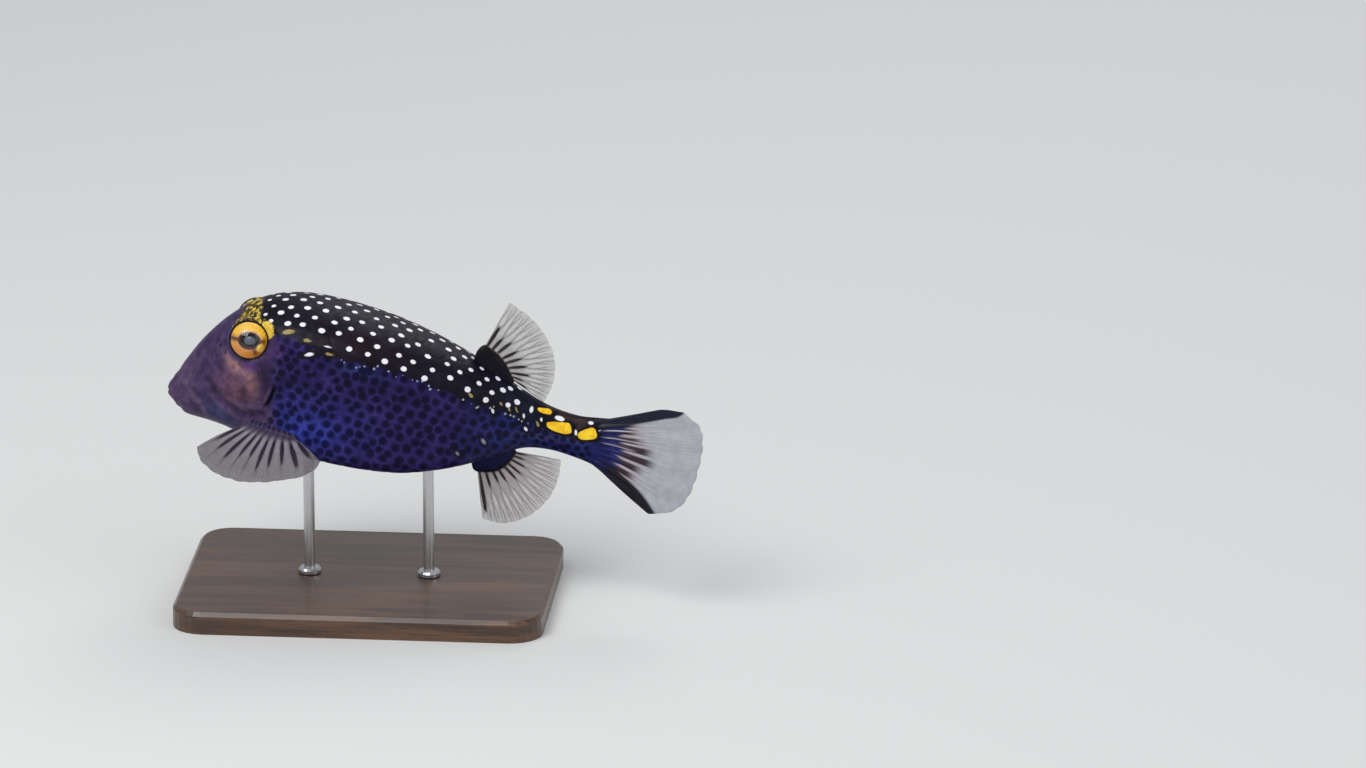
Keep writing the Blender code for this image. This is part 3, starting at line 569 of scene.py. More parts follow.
past_rim = np.full(len(net_x), 180.0)
eye_clock = np.zeros(len(net_x))
rim_mm = np.full(len(net_x), 30.0)
eye_far = np.full(len(net_x), 99.0)
for side in SIDES:
    centre, axis, tailward, rise = eye_frame(side)
    way = skin_points - centre
    far = np.linalg.norm(way, axis=1)
    way /= far[:, None] + 1e-9
    angle = np.degrees(np.arccos(np.clip(way @ axis, -1, 1)))
    near = (far < EYE_REACH) & (base_points[:, 1] * SIDES[side] > 0)
    past = np.maximum(angle - RIM_ANGLE, (far - RIM_RADIUS) * DEGREES_A_MM)
    beyond = far - RIM_RADIUS
    least = RIM_ANGLE - SHOULDER_SLOPE * np.maximum(beyond, 0) - SOCKET_SLOPE * np.maximum(-beyond, 0)
    swung = np.radians(smooth_max(angle, least, SWING_BLEND))[:, None]
    sideways = way - axis * (way @ axis)[:, None]
    sideways /= np.linalg.norm(sideways, axis=1, keepdims=True) + 1e-9
    way = np.where(near[:, None], axis * np.cos(swung) + sideways * np.sin(swung), way)
    domed = smooth_max(far, np.full_like(far, DOME_RADIUS), DOME_BLEND)
    domed = np.where(angle > BEHIND[1], far + (domed - far) * smoothstep(*BEHIND, angle), domed)
    rim = RIM_RADIUS + (domed - RIM_RADIUS) * smoothstep(*SHOULDER, past)
    radius = UNDER_EYE + (rim - UNDER_EYE) * smoothstep(*TURN_IN, past)
    moved = centre + way * radius[:, None]
    skin_points = np.where(near[:, None], moved, skin_points)
    past_rim = np.where(near, past, past_rim)
    high = (moved - centre) @ axis
    wide = np.linalg.norm(moved - centre - high[:, None] * axis, axis=1)
    rim_mm = np.where(near, np.hypot(wide - RIM_AT[0], high - RIM_AT[1]), rim_mm)
    eye_far = np.where(near, far, eye_far)
    eye_clock = np.where(near, np.degrees(np.arctan2(way @ rise, way @ tailward)), eye_clock)
print("eye rims at", round(RIM_ANGLE, 1), "degrees from each eye's axis")

# %% Turn the front rings into lips
LIP_STEPS = (0, 0.12, 0.3, 0.5, 0.68, 0.8, 0.9, 1)
LIP_WIDE = curve(*zip(LIP_STEPS, (3.72, 3.55, 3.2, 2.85, 2.6, 2.5, 2.4, 2.3)))
LIP_TALL = curve(*zip(LIP_STEPS, (4.0, 3.55, 2.8, 1.95, 1.15, 0.55, 0.16, 0.03)))
LIP_AHEAD = curve(*zip(LIP_STEPS, (-0.6, -0.22, 0.3, 0.75, 0.98, 0.85, 0.2, -1.2)))
LIP_FULLER, LIP_CORNER, WRINKLES, WRINKLE_DEPTH, CHIN_TUCK = 0.33, 0.9, 34, 0.03, 1.6

fuller = 1 + LIP_FULLER * (np.clip(2.2 - net_x, 0, 1.6) / 1.6) ** 1.6
skin_points[:, 1] *= fuller
skin_points[:, 2] = MOUTH_Z + (skin_points[:, 2] - MOUTH_Z) * fuller
lip_share = np.clip((MUZZLE_FACE - net_x) / LIP_SPAN, 0, 1)
angle = math.pi * net_t / HALF_T
corner = np.abs(np.sin(angle)) ** 4
lip_x = -LIP_AHEAD(lip_share) + LIP_CORNER * corner * smoothstep(0.1, 0.5, lip_share)
lip_y = LIP_WIDE(lip_share) * np.sin(angle)
bow = 1 - 0.1 * np.exp(-((lip_y / 0.9) ** 2)) * (np.cos(angle) > 0)
lip_z = MOUTH_Z + LIP_TALL(lip_share) * np.cos(angle) * bow
join = smoothstep(0, 0.12, lip_share)[:, None]
lips = np.stack([lip_x, lip_y, lip_z], -1)
skin_points = np.where(net_x[:, None] < MUZZLE_FACE, skin_points * (1 - join) + lips * join, skin_points)
wrinkle = np.sin(np.abs(angle) * WRINKLES)
wrinkle *= smoothstep(0.1, 0.3, lip_share) * smoothstep(0.75, 0.5, lip_share)
skin_points[:, 0] -= WRINKLE_DEPTH * wrinkle
tucked = smoothstep(0.3, -4.2, skin_points[:, 2]) * smoothstep(10, 1, skin_points[:, 0])
skin_points[:, 0] += CHIN_TUCK * tucked
print("lips reach", skin_points[:, 0].min().round(2), "mm ahead of the snout's origin")

# %% [markdown]
# ## Where the markings lie
#
# The back is black with round white dots, the flanks deep blue with dark dots, the head violet grey with a
# gold bar between the eyes, and the tail stalk has yellow bars edged in black. Painting a picture on the
# skin would tie it to one view. Instead, every vertex learns how many millimetres it lies inside or outside
# each marking, and the finish turns those distances into crisp edges. Dots are laid on a staggered lattice
# that narrows with the body, and a seeded draw nudges each one, so that no row looks ruled.

# %% Arc length round the body
X_STEP, T_STEP = 0.5, 0.05
TABLE_X = np.arange(X_STEP, SKIN_END + 1, X_STEP)
TABLE_T = np.arange(0, HALF_T + T_STEP / 5, T_STEP)
table_points, _ = body_point(*np.meshgrid(TABLE_X, TABLE_T, indexing="ij"))
steps = np.linalg.norm(np.diff(table_points, axis=1), axis=-1)
TABLE_ARC = np.concatenate([np.zeros((len(TABLE_X), 1)), np.cumsum(steps, axis=1)], axis=1)


def arc(x, t):
    """Millimetres round the body from the midline of the back to t."""
    i = np.clip((np.asarray(x) - TABLE_X[0]) / X_STEP, 0, len(TABLE_X) - 1.001)
    j = np.clip(np.abs(t) / T_STEP, 0, len(TABLE_T) - 1.001)
    a, b = i.astype(int), j.astype(int)
    u, v = i - a, j - b
    low = TABLE_ARC[a, b] * (1 - v) + TABLE_ARC[a, b + 1] * v
    high = TABLE_ARC[a + 1, b] * (1 - v) + TABLE_ARC[a + 1, b + 1] * v
    return (low * (1 - u) + high * u) * np.sign(t)


def t_at(x, distance):
    """The t at each x that lies so many millimetres round from the midline of the back."""
    rows = TABLE_ARC[np.clip(np.round((x - TABLE_X[0]) / X_STEP), 0, len(TABLE_X) - 1).astype(int)]
    found = [np.interp(abs(d), row, TABLE_T) for d, row in zip(distance, rows)]
    return np.array(found) * np.where(distance < 0, -1, 1)


def edge_distance(x):
    """Millimetres round from the midline of the back to the line between back and flank."""
    return float(arc(np.array([x]), EDGE_T(np.array([x])))[0])


def whole_distance(x):
    """Millimetres round from the midline of the back to that of the belly."""
    return float(arc(np.array([x]), np.array([HALF_T]))[0])


net_arc = arc(net_x, net_t)
print("from back to belly, 60 mm behind the snout:", round(whole_distance(60.0), 1), "mm")

# %% The line between back and flank
EDGE_T = curve(
    (20, 1.5), (27, 2.05), (31, 2.35), (38, 2.45), (44, 2.65), (50, 2.85), (60, 2.8), (72, 2.75), (82, 2.85),
    (92, 3.05), (100, 3.3), (106, 3.4), (112, 3.9), (118, 4.2), (126, 4.5), (132, 4.3), (136, 3.2),
)
BACK_FRONT = 26.8
edge_arc = arc(net_x, EDGE_T(net_x))
waver = 0.35 * np.sin(net_x * 0.9 + 1) + 0.25 * np.sin(net_x * 2.3)
back_inside = edge_arc - np.abs(net_arc) + waver
back_inside = np.minimum(back_inside, net_x - BACK_FRONT + 0.8 * np.sin(net_arc * 0.9))

# %% White dots of the back
draw = np.random.default_rng(7)
DOT_SPACING = curve((26, 4.4), (40, 5.6), (60, 6.0), (85, 5.6), (100, 4.9), (114, 4.2))
ROW_SHARE, DOT_JITTER, DOT_RADIUS, DOT_CLEAR = 0.70, 0.07, 0.86, 3.4
DOT_ROWS, DOTS_FROM, DOTS_TO = range(-8, 9), 27.0, 111.0
SMALL_UP_TO, SMALLER = 33, 0.75
EDGE_CLEAR, EYE_CLEAR = 1.5, 7.6


def marks_at(rows):
    """Places and radii of marks given as x, millimetres round from the midline of the back, and radius."""
    x, distance, radius = np.array(rows).T
    return body_point(x, t_at(x, distance))[0], radius


white_rows = []
for row in DOT_ROWS:
    station = DOTS_FROM + (row % 2) * float(DOT_SPACING(DOTS_FROM + 1)) / 2
    while station < DOTS_TO:
        gap = float(DOT_SPACING(station))
        x = station + draw.normal(0, DOT_JITTER) * gap
        distance = row * gap * ROW_SHARE + draw.normal(0, DOT_JITTER) * gap
        apart = min((math.hypot(x - r[0], distance - r[1]) for r in white_rows), default=FAR_OFF)
        if abs(distance) < edge_distance(x) - EDGE_CLEAR and apart > DOT_CLEAR:
            size = DOT_RADIUS * (SMALLER if x < SMALL_UP_TO else 1.0)
            white_rows.append((x, distance, size * draw.uniform(0.9, 1.12)))
        station += gap
white_places, white_radii = marks_at(white_rows)
clear = np.ones(len(white_radii), bool)
for side in SIDES:
    clear &= np.linalg.norm(white_places - eye_centre(side), axis=1) > EYE_CLEAR
white_places, white_radii = white_places[clear], white_radii[clear]
print("white dots on the back:", len(white_radii))

# %% Dark dots of the flanks
SIDE_SPACING = curve((30, 3.1), (45, 3.4), (80, 3.7), (100, 3.3), (136, 2.8))
DARK_ROWS, DARK_ROW_SHARE, DARKS_FROM, DARK_STAGGER, BELOW_EDGE, GAPS = 30, 0.84, 27.5, 1.6, 1.2, 0.03
DARK_NUDGE_ALONG, DARK_NUDGE_DOWN, DARK_RADII = 0.11, 0.13, (0.27, 0.39)
dark_rows = []
for sign in (-1, 1):
    for row in range(DARK_ROWS):
        x = DARKS_FROM + (row % 2) * DARK_STAGGER
        while x < BODY_LENGTH - 1:
            gap = float(SIDE_SPACING(x))
            distance = edge_distance(x) + BELOW_EDGE + row * gap * DARK_ROW_SHARE
            distance = distance + draw.normal(0, DARK_NUDGE_DOWN) * gap
            if distance < whole_distance(x) and draw.random() > GAPS:
                nudged_x = x + draw.normal(0, DARK_NUDGE_ALONG) * gap
                dark_rows.append((nudged_x, sign * distance, gap * draw.uniform(*DARK_RADII)))
            x += gap
dark_places, dark_radii = marks_at(dark_rows)
print("dark dots on the flanks:", len(dark_radii))

# %% Special marks: dashes on the edge, yellow bars, pale spots
# Each mark is x, t, half length and half height in millimetres, and its slant in degrees, tail end up.
YELLOW = (
    (123.3, 3.65, 4.1, 1.6, 12), (132.6, 3.75, 3.0, 1.75, 17), (117.9, 1.8, 2.3, 0.9, 22),
    (30.6, 2.15, 1.0, 1.7, 20),
)
GOLD = (
    (37.0, 2.25, 2.0, 0.85, 0), (43.1, 2.42, 1.4, 0.6, -4), (50.6, 2.72, 1.6, 0.42, 0),
    (95.0, 2.75, 0.9, 0.6, 0), (107.0, 3.15, 0.5, 0.6, 30), (109.2, 3.05, 0.45, 0.8, 30),
    (116.3, 4.0, 0.5, 0.9, 30), (104.4, 2.85, 0.5, 0.5, 0),
)
WHITE = (
    (44.5, 2.92, 1.6, 0.6, 16), (50.0, 2.45, 1.5, 0.3, 0), (123.0, 2.2, 1.6, 0.8, 8),
    (133.2, 1.9, 0.9, 0.55, -8), (128.9, 3.75, 0.45, 1.0, 8), (113.8, 2.45, 0.55, 1.3, -12),
    (112.6, 5.0, 0.65, 0.65, 0), (102.0, 3.5, 0.5, 0.8, 0), (111.6, 3.5, 0.45, 0.8, 0),
    (117.3, 3.3, 0.4, 0.7, 0), (136.9, 3.0, 0.9, 0.4, 0),
)
PALE = ((100.0, 5.75, 0.9, 0.9, 0), (92.5, 6.2, 0.7, 0.7, 0), (113.2, 4.3, 0.4, 0.4, 0))
FLARE, YELLOW_BLUNT = 0.22, 1.2


def inside_marks(marks, blunt=0.0):
    """How many millimetres each vertex lies inside the nearest of the marks, on both sides of the fish.
    Blunt makes them squarer, and higher at the tail end."""
    best = np.full(len(net_x), -FAR_OFF)
    power = 2 + blunt
    for x, t, long, tall, slant in marks:
        a = math.radians(slant)
        along = net_x - x
        down = np.abs(net_arc) - float(arc(np.array([x]), np.array([t]))[0])
        u = along * math.cos(a) - down * math.sin(a)
        v = along * math.sin(a) + down * math.cos(a)
        flared = tall * (1 + blunt * FLARE * np.clip(u / long, -1, 1))
        far = (np.abs(u / long) ** power + np.abs(v / flared) ** power) ** (1 / power)
        best = np.maximum(best, (1 - far) * min(long, tall))
    return best


yellow_inside = inside_marks(YELLOW, YELLOW_BLUNT)
gold_inside = inside_marks(GOLD)
white_inside = inside_marks(WHITE)
pale_inside = inside_marks(PALE)
print("special marks on each side:", sum(len(marks) for marks in (YELLOW, GOLD, WHITE, PALE)))

# %% Flecks along the edge, and the distances that the finish reads
FLECKS_FROM, FLECKS_TO, FLECK_STEP, FLECK_SHARE = 53.0, 112.0, 1.5, 0.72
MARK_CLEAR, DOT_STRETCH = 2.7, 1.18
fleck_rows = []
for sign in (-1, 1):
    for x in np.arange(FLECKS_FROM, FLECKS_TO, FLECK_STEP):
        x = x + draw.uniform(-0.5, 0.5)
        if draw.random() < FLECK_SHARE:
            distance = sign * (edge_distance(x) + draw.normal(0.2, 0.45))
            fleck_rows.append((x, distance, draw.uniform(0.22, 0.48)))


def inside_dots(places, radii, stretch=1.0):
    """How far inside the nearest dot each vertex lies, and how far from the line between two dots. The dots
    are first moved from the plain body to the finished skin."""
    _, vertex = nearest(places, base_points)
    far, which = nearest(skin_points, skin_points[vertex[:, 0]], count=2, stretch=stretch)
    return radii[which[:, 0]] - far[:, 0], (far[:, 1] - far[:, 0]) / 2


special = np.array([mark[:2] for mark in WHITE + GOLD[:3]])
special_places = np.concatenate([body_point(special[:, 0], special[:, 1] * sign)[0] for sign in (-1, 1)])
alone = nearest(white_places, special_places)[0][:, 0] > MARK_CLEAR
white_places, white_radii = white_places[alone], white_radii[alone]
white_inside = np.maximum(white_inside, inside_dots(white_places, white_radii, DOT_STRETCH)[0])
dark_inside, cell_gap = inside_dots(dark_places, dark_radii)
fleck_inside, _ = inside_dots(*marks_at(fleck_rows))
print("white dots that stay clear of the special marks:", len(white_radii), "flecks:", len(fleck_rows))

# %% [markdown]
# ## The ground colours
#
# Under the dots the colour drifts: violet grey on the snout, a pink-brown cheek, a bluish jaw, deep indigo
# flanks that turn royal blue low behind the side fin, and a brown tinge along the ridge. A gradient texture
# could not follow the fish, so each tint is a soft patch with a centre and a reach on the flank, laid over
# the ones before it like thin paint. The gold bar between the eyes is measured from its middle line, as the
# marks are, and runs on along the upper rims of the eyes.

# %% Thin paint and soft patches
z_here = base_points[:, 2]
off_middle = np.abs(net_t)


def laid_over(base, colour, share):
    """The base colours with one colour laid over them, by the share at each point."""
    share = np.clip(share, 0, 1)[:, None]
    return base * (1 - share) + np.array(colour) * share


def painted(base, tints):
    """One base colour for all vertices, with the tints laid over it one by one."""
    colours = np.tile(np.array(base), (len(net_x), 1))
    for _, colour, share in tints:
        colours = laid_over(colours, colour, share)
    return colours


def patch(x, z, reach_x, reach_z, slant=0):
    """A soft oval patch on the flanks, tail end up by slant degrees."""
    a = math.radians(slant)
    u = (net_x - x) * math.cos(a) + (z_here - z) * math.sin(a)
    v = (z_here - z) * math.cos(a) - (net_x - x) * math.sin(a)
    return np.exp(-((u / reach_x) ** 2) - (v / reach_z) ** 2)


# %% Tints of head and flanks
VIOLET_GREY = (0.044, 0.029, 0.092)
flank_share = smoothstep(30.4, 36.0, net_x + 0.25 * (z_here - 8) * (z_here < 8))
stalk_under = smoothstep(131, 138, net_x) * smoothstep(6.4, 8.2, off_middle)
TINTS = (
    ("snout", (0.060, 0.038, 0.094), smoothstep(16, 4, net_x) * 0.9),
    ("jaw", (0.026, 0.030, 0.105), patch(17, -1.5, 7.5, 3.8, -24)),
    ("front of the eye", (0.034, 0.028, 0.095), patch(19, 17, 3.2, 9, -35) * 0.8),
    ("cheek", (0.094, 0.046, 0.080), patch(22.8, 8, 7.6, 7.2) * 0.95),
    ("bright patch under the eye", (0.370, 0.205, 0.220), patch(21.3, 14.6, 4.4, 1.8, -30) * 0.80),
    ("gill cover", (0.220, 0.115, 0.115), patch(27.4, 10.0, 1.7, 4.0, 6) * 0.60),
    ("violet behind the eye", (0.065, 0.028, 0.140), patch(26.2, 16.0, 2.8, 1.5, 10) * 0.85),
    ("pale streak on the snout", (0.125, 0.090, 0.155), patch(8.2, 1.6, 5.0, 1.0, -50) * 0.75),
    # Painted shade: a dark patch along the gill slit.
    ("gill slit", (0.020, 0.009, 0.036), patch(31.5, 11, 1.9, 7.5, 10) * 0.9),
    ("fold behind the jaw", (0.020, 0.011, 0.042), 0.72 * bell(fold_gap, 1.15)),
    ("roll beside the fold", (0.085, 0.052, 0.115), 0.5 * bell(fold_gap - 2.3, 0.8) * (z_here < 4)),
    ("flank", (0.013, 0.007, 0.064), flank_share),
    ("violet above the gill slit", (0.060, 0.028, 0.120), patch(33.2, 22.5, 3.0, 2.4) * 0.8),
    ("royal blue behind the side fin", (0.014, 0.018, 0.160), flank_share * patch(44, -1.5, 15, 8.5)),
    ("blue at the top of the flank", (0.010, 0.020, 0.085), flank_share * patch(60, 20.3, 8, 1.8, -12) * 0.6),
    ("rear of the flank", (0.006, 0.008, 0.068), smoothstep(88, 108, net_x)),
    ("tail stalk", (0.030, 0.027, 0.100), patch(118, 0, 12, 1.6) * 0.5),
    ("belly", (0.016, 0.016, 0.085), smoothstep(6.8, 8.5, off_middle) * flank_share),
    ("under the end of the stalk", (0.004, 0.004, 0.014), stalk_under),
)
ground = painted(VIOLET_GREY, TINTS)
print("ground colours from", ground.min(0).round(3).tolist(), "to", ground.max(0).round(3).tolist())

# %% Tints of the black back
BLUE_BLACK = (0.0045, 0.0036, 0.0125)
ridge_share = np.exp(-((net_x - 60) / 16) ** 2 - ((off_middle - 2.1) / 0.7) ** 2) * 0.7
stalk_share = smoothstep(119, 124, net_x) * smoothstep(134.5, 130, net_x) * smoothstep(0.3, 1.6, off_middle)
blue_share = smoothstep(96, 110, net_x) * smoothstep(120, 112, net_x)
BACK_TINTS = (
    ("brown along the ridge", (0.016, 0.006, 0.010), ridge_share),
    ("brown on the tail stalk", (0.045, 0.022, 0.018), stalk_share * 0.85),
    ("blue before the stalk", (0.006, 0.008, 0.030), blue_share * 0.5),
)
back_ground = painted(BLUE_BLACK, BACK_TINTS)
print("colours of the back up to", back_ground.max(0).round(3).tolist())

# %% The gold bar between the eyes and over their rims
BRIGHT_AT, BRIGHT_REACH = 32, 26
BAR_SPAN, BAR_EDGE, RIM_ZONE = 2.0, 0.7, 60

bar_middle = 24.6 - 0.8 * off_middle
bar_half = 1.6 + 1.5 * np.clip(off_middle, 0, 1.6)
gold_bar = bar_half - np.abs(net_x - bar_middle)
gold_bar = np.where(off_middle < BAR_SPAN, np.minimum(gold_bar, BAR_EDGE), -FAR_OFF)
bright_side = bell(eye_clock - BRIGHT_AT, BRIGHT_REACH)
on_top = smoothstep(2, 20, eye_clock) * smoothstep(165, 140, eye_clock)
rim_width = (1.1 + 1.9 * bright_side) * on_top - 1.0 * (1 - on_top)
gold_rim = np.minimum(rim_mm - 0.3, rim_width - rim_mm)
gold_bar = np.maximum(gold_bar, np.where((past_rim > 0) & (past_rim < RIM_ZONE), gold_rim, -FAR_OFF))
bar_bright = np.where(rim_mm < 5, bright_side, 0.0)
print("vertices of the gold bar and rims:", int((gold_bar > 0).sum()))

# %% [markdown]
# ## A small kit for finishes
#
# Every finish here is a tree of nodes: some read the distances stored on the vertices, some draw noise, and
# the last one is the shader. Clicking them together in the editor works as well, but a class whose methods
# each add one node makes the recipe readable from top to bottom, and the same few steps serve all finishes.

# %% The finish kit
class Finish:
    """A material in the making. Sizes are in millimetres. Each method adds a node and returns its output."""

    def __init__(self, name):
        self.material = bpy.data.materials.new(name)
        self.material.use_nodes = True
        self.tree = self.material.node_tree
        self.shader = self.tree.nodes["Principled BSDF"]
        self.where = self.tree.nodes.new("ShaderNodeTexCoord").outputs["Object"]

    def feed(self, socket, value):
        """Links a node's output to a socket, or sets the socket to a number or colour."""
        if isinstance(value, bpy.types.NodeSocket):
            self.tree.links.new(value, socket)
        elif isinstance(value, (tuple, list)) and len(value) == 3 and socket.type == "RGBA":
            socket.default_value = (*value, 1)
        else:
            socket.default_value = value

    def field(self, name, output="Fac"):
        """What is stored on the vertices under a name."""
        node = self.tree.nodes.new("ShaderNodeAttribute")
        node.attribute_name = name
        return node.outputs[output]

    def noise(self, size, detail=3.0, rough=0.55, stretch=(1, 1, 1)):
        scaled = self.tree.nodes.new("ShaderNodeMapping")
        scaled.inputs["Scale"].default_value = [1000 / size / s for s in stretch]
        self.tree.links.new(self.where, scaled.inputs["Vector"])
        node = self.tree.nodes.new("ShaderNodeTexNoise")
        node.inputs["Scale"].default_value = 1.0
        node.inputs["Detail"].default_value = detail
        node.inputs["Roughness"].default_value = rough
        self.tree.links.new(scaled.outputs["Vector"], node.inputs["Vector"])
        return node.outputs["Fac"]

    def cells(self, size):
        """Distance from the middles of small cells."""
        node = self.tree.nodes.new("ShaderNodeTexVoronoi")
        node.inputs["Scale"].default_value = 1000 / size
        self.tree.links.new(self.where, node.inputs["Vector"])
        return node.outputs["Distance"]

    def math(self, what, a, b=0.0, clamp=False):
        node = self.tree.nodes.new("ShaderNodeMath")
        node.operation = what
        node.use_clamp = clamp
        self.feed(node.inputs[0], a)
        self.feed(node.inputs[1], b)
        return node.outputs[0]

    def times(self, a, b):
        return self.math("MULTIPLY", a, b)

    def plus(self, value, other, amount, clamp=False):
        """The value plus so much of the other. With noise as the other, the edge made from it wanders."""
        return self.math("ADD", value, self.times(other, amount), clamp)

    def rise(self, value, low, high, start=0.0, end=1.0):
        """start below low, end above high, and a soft change between."""
        node = self.tree.nodes.new("ShaderNodeMapRange")
        node.interpolation_type = "SMOOTHSTEP"
        self.feed(node.inputs["Value"], value)
        for socket, number in zip(("From Min", "From Max", "To Min", "To Max"), (low, high, start, end)):
            node.inputs[socket].default_value = number
        return node.outputs["Result"]

    def mix(self, share, a, b, blend="MIX"):
        node = self.tree.nodes.new("ShaderNodeMix")
        node.data_type = "RGBA"
        node.blend_type = blend
        self.feed(node.inputs[0], share)
        self.feed(node.inputs[6], a)
        self.feed(node.inputs[7], b)
        return node.outputs[2]

    def tinted(self, colour, factors):
        """The colour with its red, green and blue multiplied."""
        return self.mix(1.0, colour, factors, "MULTIPLY")

    def darker(self, colour, share):
        return self.mix(share, colour, (0, 0, 0))

    def bump(self, height, depth, strength, below=None):
        """Relief with a depth in millimetres, on top of the relief below."""
        node = self.tree.nodes.new("ShaderNodeBump")
        node.inputs["Distance"].default_value = depth * MM
        node.inputs["Strength"].default_value = strength
        self.feed(node.inputs["Height"], height)
        if below is not None:
            self.tree.links.new(below, node.inputs["Normal"])
        return node.outputs["Normal"]

    def done(self, **sockets):
        """Sets the shader's sockets, named with _ for a space, and returns the material."""
        for name, value in sockets.items():
            self.feed(self.shader.inputs[name.replace("_", " ")], value)
        return self.material


# %% A helper for pieces
def add_piece(name, points, faces, finish, stands_for=(), fields=None, colours=None, weld=False):
    """A smooth mesh piece from points of the drawing. Fields are numbers and colours are RGB rows, one for
    each vertex."""
    mesh = bpy.data.meshes.new(name)
    mesh.from_pydata(place(points), [], faces)
    for key, values in (fields or {}).items():
        mesh.attributes.new(key, "FLOAT", "POINT").data.foreach_set("value", np.asarray(values, np.float32))
    for key, values in (colours or {}).items():
        rgba = np.concatenate([np.asarray(values), np.ones((len(values), 1))], axis=1).astype(np.float32)
        mesh.attributes.new(key, "FLOAT_COLOR", "POINT").data.foreach_set("color", rgba.ravel())
    tidy = bmesh.new()
    tidy.from_mesh(mesh)
    if weld:
        bmesh.ops.remove_doubles(tidy, verts=tidy.verts, dist=1e-6)
    bmesh.ops.recalc_face_normals(tidy, faces=tidy.faces)
    tidy.to_mesh(mesh)
    tidy.free()
    mesh.shade_smooth()
    mesh.materials.append(finish)
    piece = bpy.data.objects.new(name, mesh)
    bpy.context.scene.collection.objects.link(piece)
    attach(piece, "root")
    if stands_for:
        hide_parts(*stands_for)
    triangles = sum(len(p.vertices) - 2 for p in mesh.polygons)
    print(name, len(mesh.vertices), "vertices,", triangles, "triangles")


# %% [markdown]
# ## The skin's finish
#
# The skin is satin, never quite even: fine grains on the plates, soft mottling, and edges of dots that
# wander a little. Noise nudges every stored distance before it is turned into an edge, so no dot is a
# perfect disc. The dark dots sit in a paler net, and the net itself is cloudy.

# %% Dark dots of the flanks in their cloudy net
def flank_colour(f, wander, cloud):
    colour = f.field("ground", "Color")
    colour = f.mix(f.rise(cloud, 0.3, 0.7), f.darker(colour, 0.25), f.tinted(colour, (1.30, 1.28, 1.22)))
    blotch = f.mix(f.rise(f.noise(2.6, 4, 0.6), 0.32, 0.68), (0.68, 0.64, 0.74), (1.42, 1.36, 1.22))
    colour = f.mix(f.field("head"), colour, f.tinted(colour, blotch))
    dotted = f.field("dotted")
    patchy = f.rise(f.noise(6, 3), 0.3, 0.65, 0.35, 1.0)
    seam = f.plus(f.field("cell"), wander, 0.35)
    net = f.times(f.times(f.rise(seam, 0.62, 0.10), dotted), patchy)
    netted = f.mix(f.times(net, 0.85), colour, f.tinted(colour, (2.2, 2.6, 1.8)))
    dark = f.plus(f.field("dark"), wander, 0.5)
    dot = f.times(f.rise(dark, -0.40, 0.45), dotted)
    return f.mix(f.times(dot, 0.95), netted, f.tinted(colour, (0.18, 0.16, 0.32)))


# %% The black back, and black rings round the marks
# Black for the real outlines round the yellow marks, and for the painted shade in the creases.
INK_AND_SHADE = (0.004, 0.003, 0.006)


def with_black_back(f, flank, wander, cloud):
    marks = f.math("MAXIMUM", f.field("white"), f.math("MAXIMUM", f.field("yellow"), f.field("gold")))
    edged = f.plus(f.field("back"), wander, 1.6)
    ringed = f.math("ADD", marks, f.plus(0.85, wander, 0.5))
    black = f.math("MAXIMUM", f.rise(edged, -0.35, 0.35), f.rise(ringed, -0.15, 0.25))
    black = f.math("MAXIMUM", black, f.times(f.rise(f.field("pale"), -1.3, -0.8), 0.75))
    night = f.field("back_ground", "Color")
    night = f.mix(f.rise(cloud, 0.35, 0.75), f.darker(night, 0.35), f.mix(0.03, night, (0.10, 0.07, 0.14)))
    outline = f.rise(f.plus(f.field("yellow"), wander, 0.5), -0.95, -0.55)
    return f.mix(black, flank, f.mix(outline, night, INK_AND_SHADE))


# %% Gold, yellow and white marks
def with_marks(f, colour, wander, fine):
    gold = f.plus(f.field("gold"), wander, 0.6)
    gold_colour = f.mix(f.noise(0.8, 2), (0.17, 0.13, 0.045), (0.48, 0.38, 0.15))
    colour = f.mix(f.rise(gold, -0.10, 0.16), colour, gold_colour)
    fleck = f.plus(f.field("fleck"), wander, 0.5)
    fleck_colour = f.mix(f.field("rear"), (0.30, 0.36, 0.60), (0.44, 0.46, 0.36))
    colour = f.mix(f.times(f.rise(fleck, -0.05, 0.16), 0.8), colour, fleck_colour)
    yellow = f.plus(f.field("yellow"), wander, 0.35)
    yellow_colour = f.mix(f.rise(f.noise(1.6, 3), 0.35, 0.7), (0.84, 0.46, 0.015), (0.98, 0.68, 0.040))
    colour = f.mix(f.rise(yellow, -0.08, 0.10), colour, yellow_colour)
    white = f.plus(f.field("white"), wander, 0.30)
    white_colour = f.mix(fine, (0.74, 0.73, 0.80), (0.92, 0.91, 0.95))
    colour = f.mix(f.rise(white, -0.10, 0.14), colour, white_colour)
    return f.mix(f.rise(f.field("pale"), -0.2, 0.5, 0.0, 0.8), colour, (0.30, 0.33, 0.42))


# %% The gold bar, painted shade in the creases, and the lips
def with_head_marks_and_crease_shade(f, colour, fine):
    bar_zone = f.rise(f.field("gold_bar"), -0.9, 0.2)
    colour = f.mix(bar_zone, colour, f.mix(fine, (0.020, 0.014, 0.004), (0.060, 0.042, 0.010)))
    bright = f.field("bar_bright")
    broken = f.math("SUBTRACT", f.noise(1.25, 2, 0.5), 0.53)
    bar = f.plus(f.plus(f.field("gold_bar"), bright, 2.0), broken, 9.0)
    bar_colour = f.mix(f.plus(f.noise(1.2, 2), bright, 0.5), (0.30, 0.23, 0.045), (0.80, 0.56, 0.08))
    colour = f.mix(f.times(f.rise(bar, 0.1, 1.0), bar_zone), colour, bar_colour)
    # Painted shade: black in the gill slits, the nostrils, the eye sockets and where the lips turn into the
    # mouth.
    colour = f.mix(f.field("crease_shade"), colour, INK_AND_SHADE)
    colour = f.mix(f.field("pale_edge"), colour, (0.120, 0.075, 0.130))
    return f.mix(f.field("lip"), colour, f.mix(fine, (0.070, 0.046, 0.082), (0.125, 0.088, 0.130)))


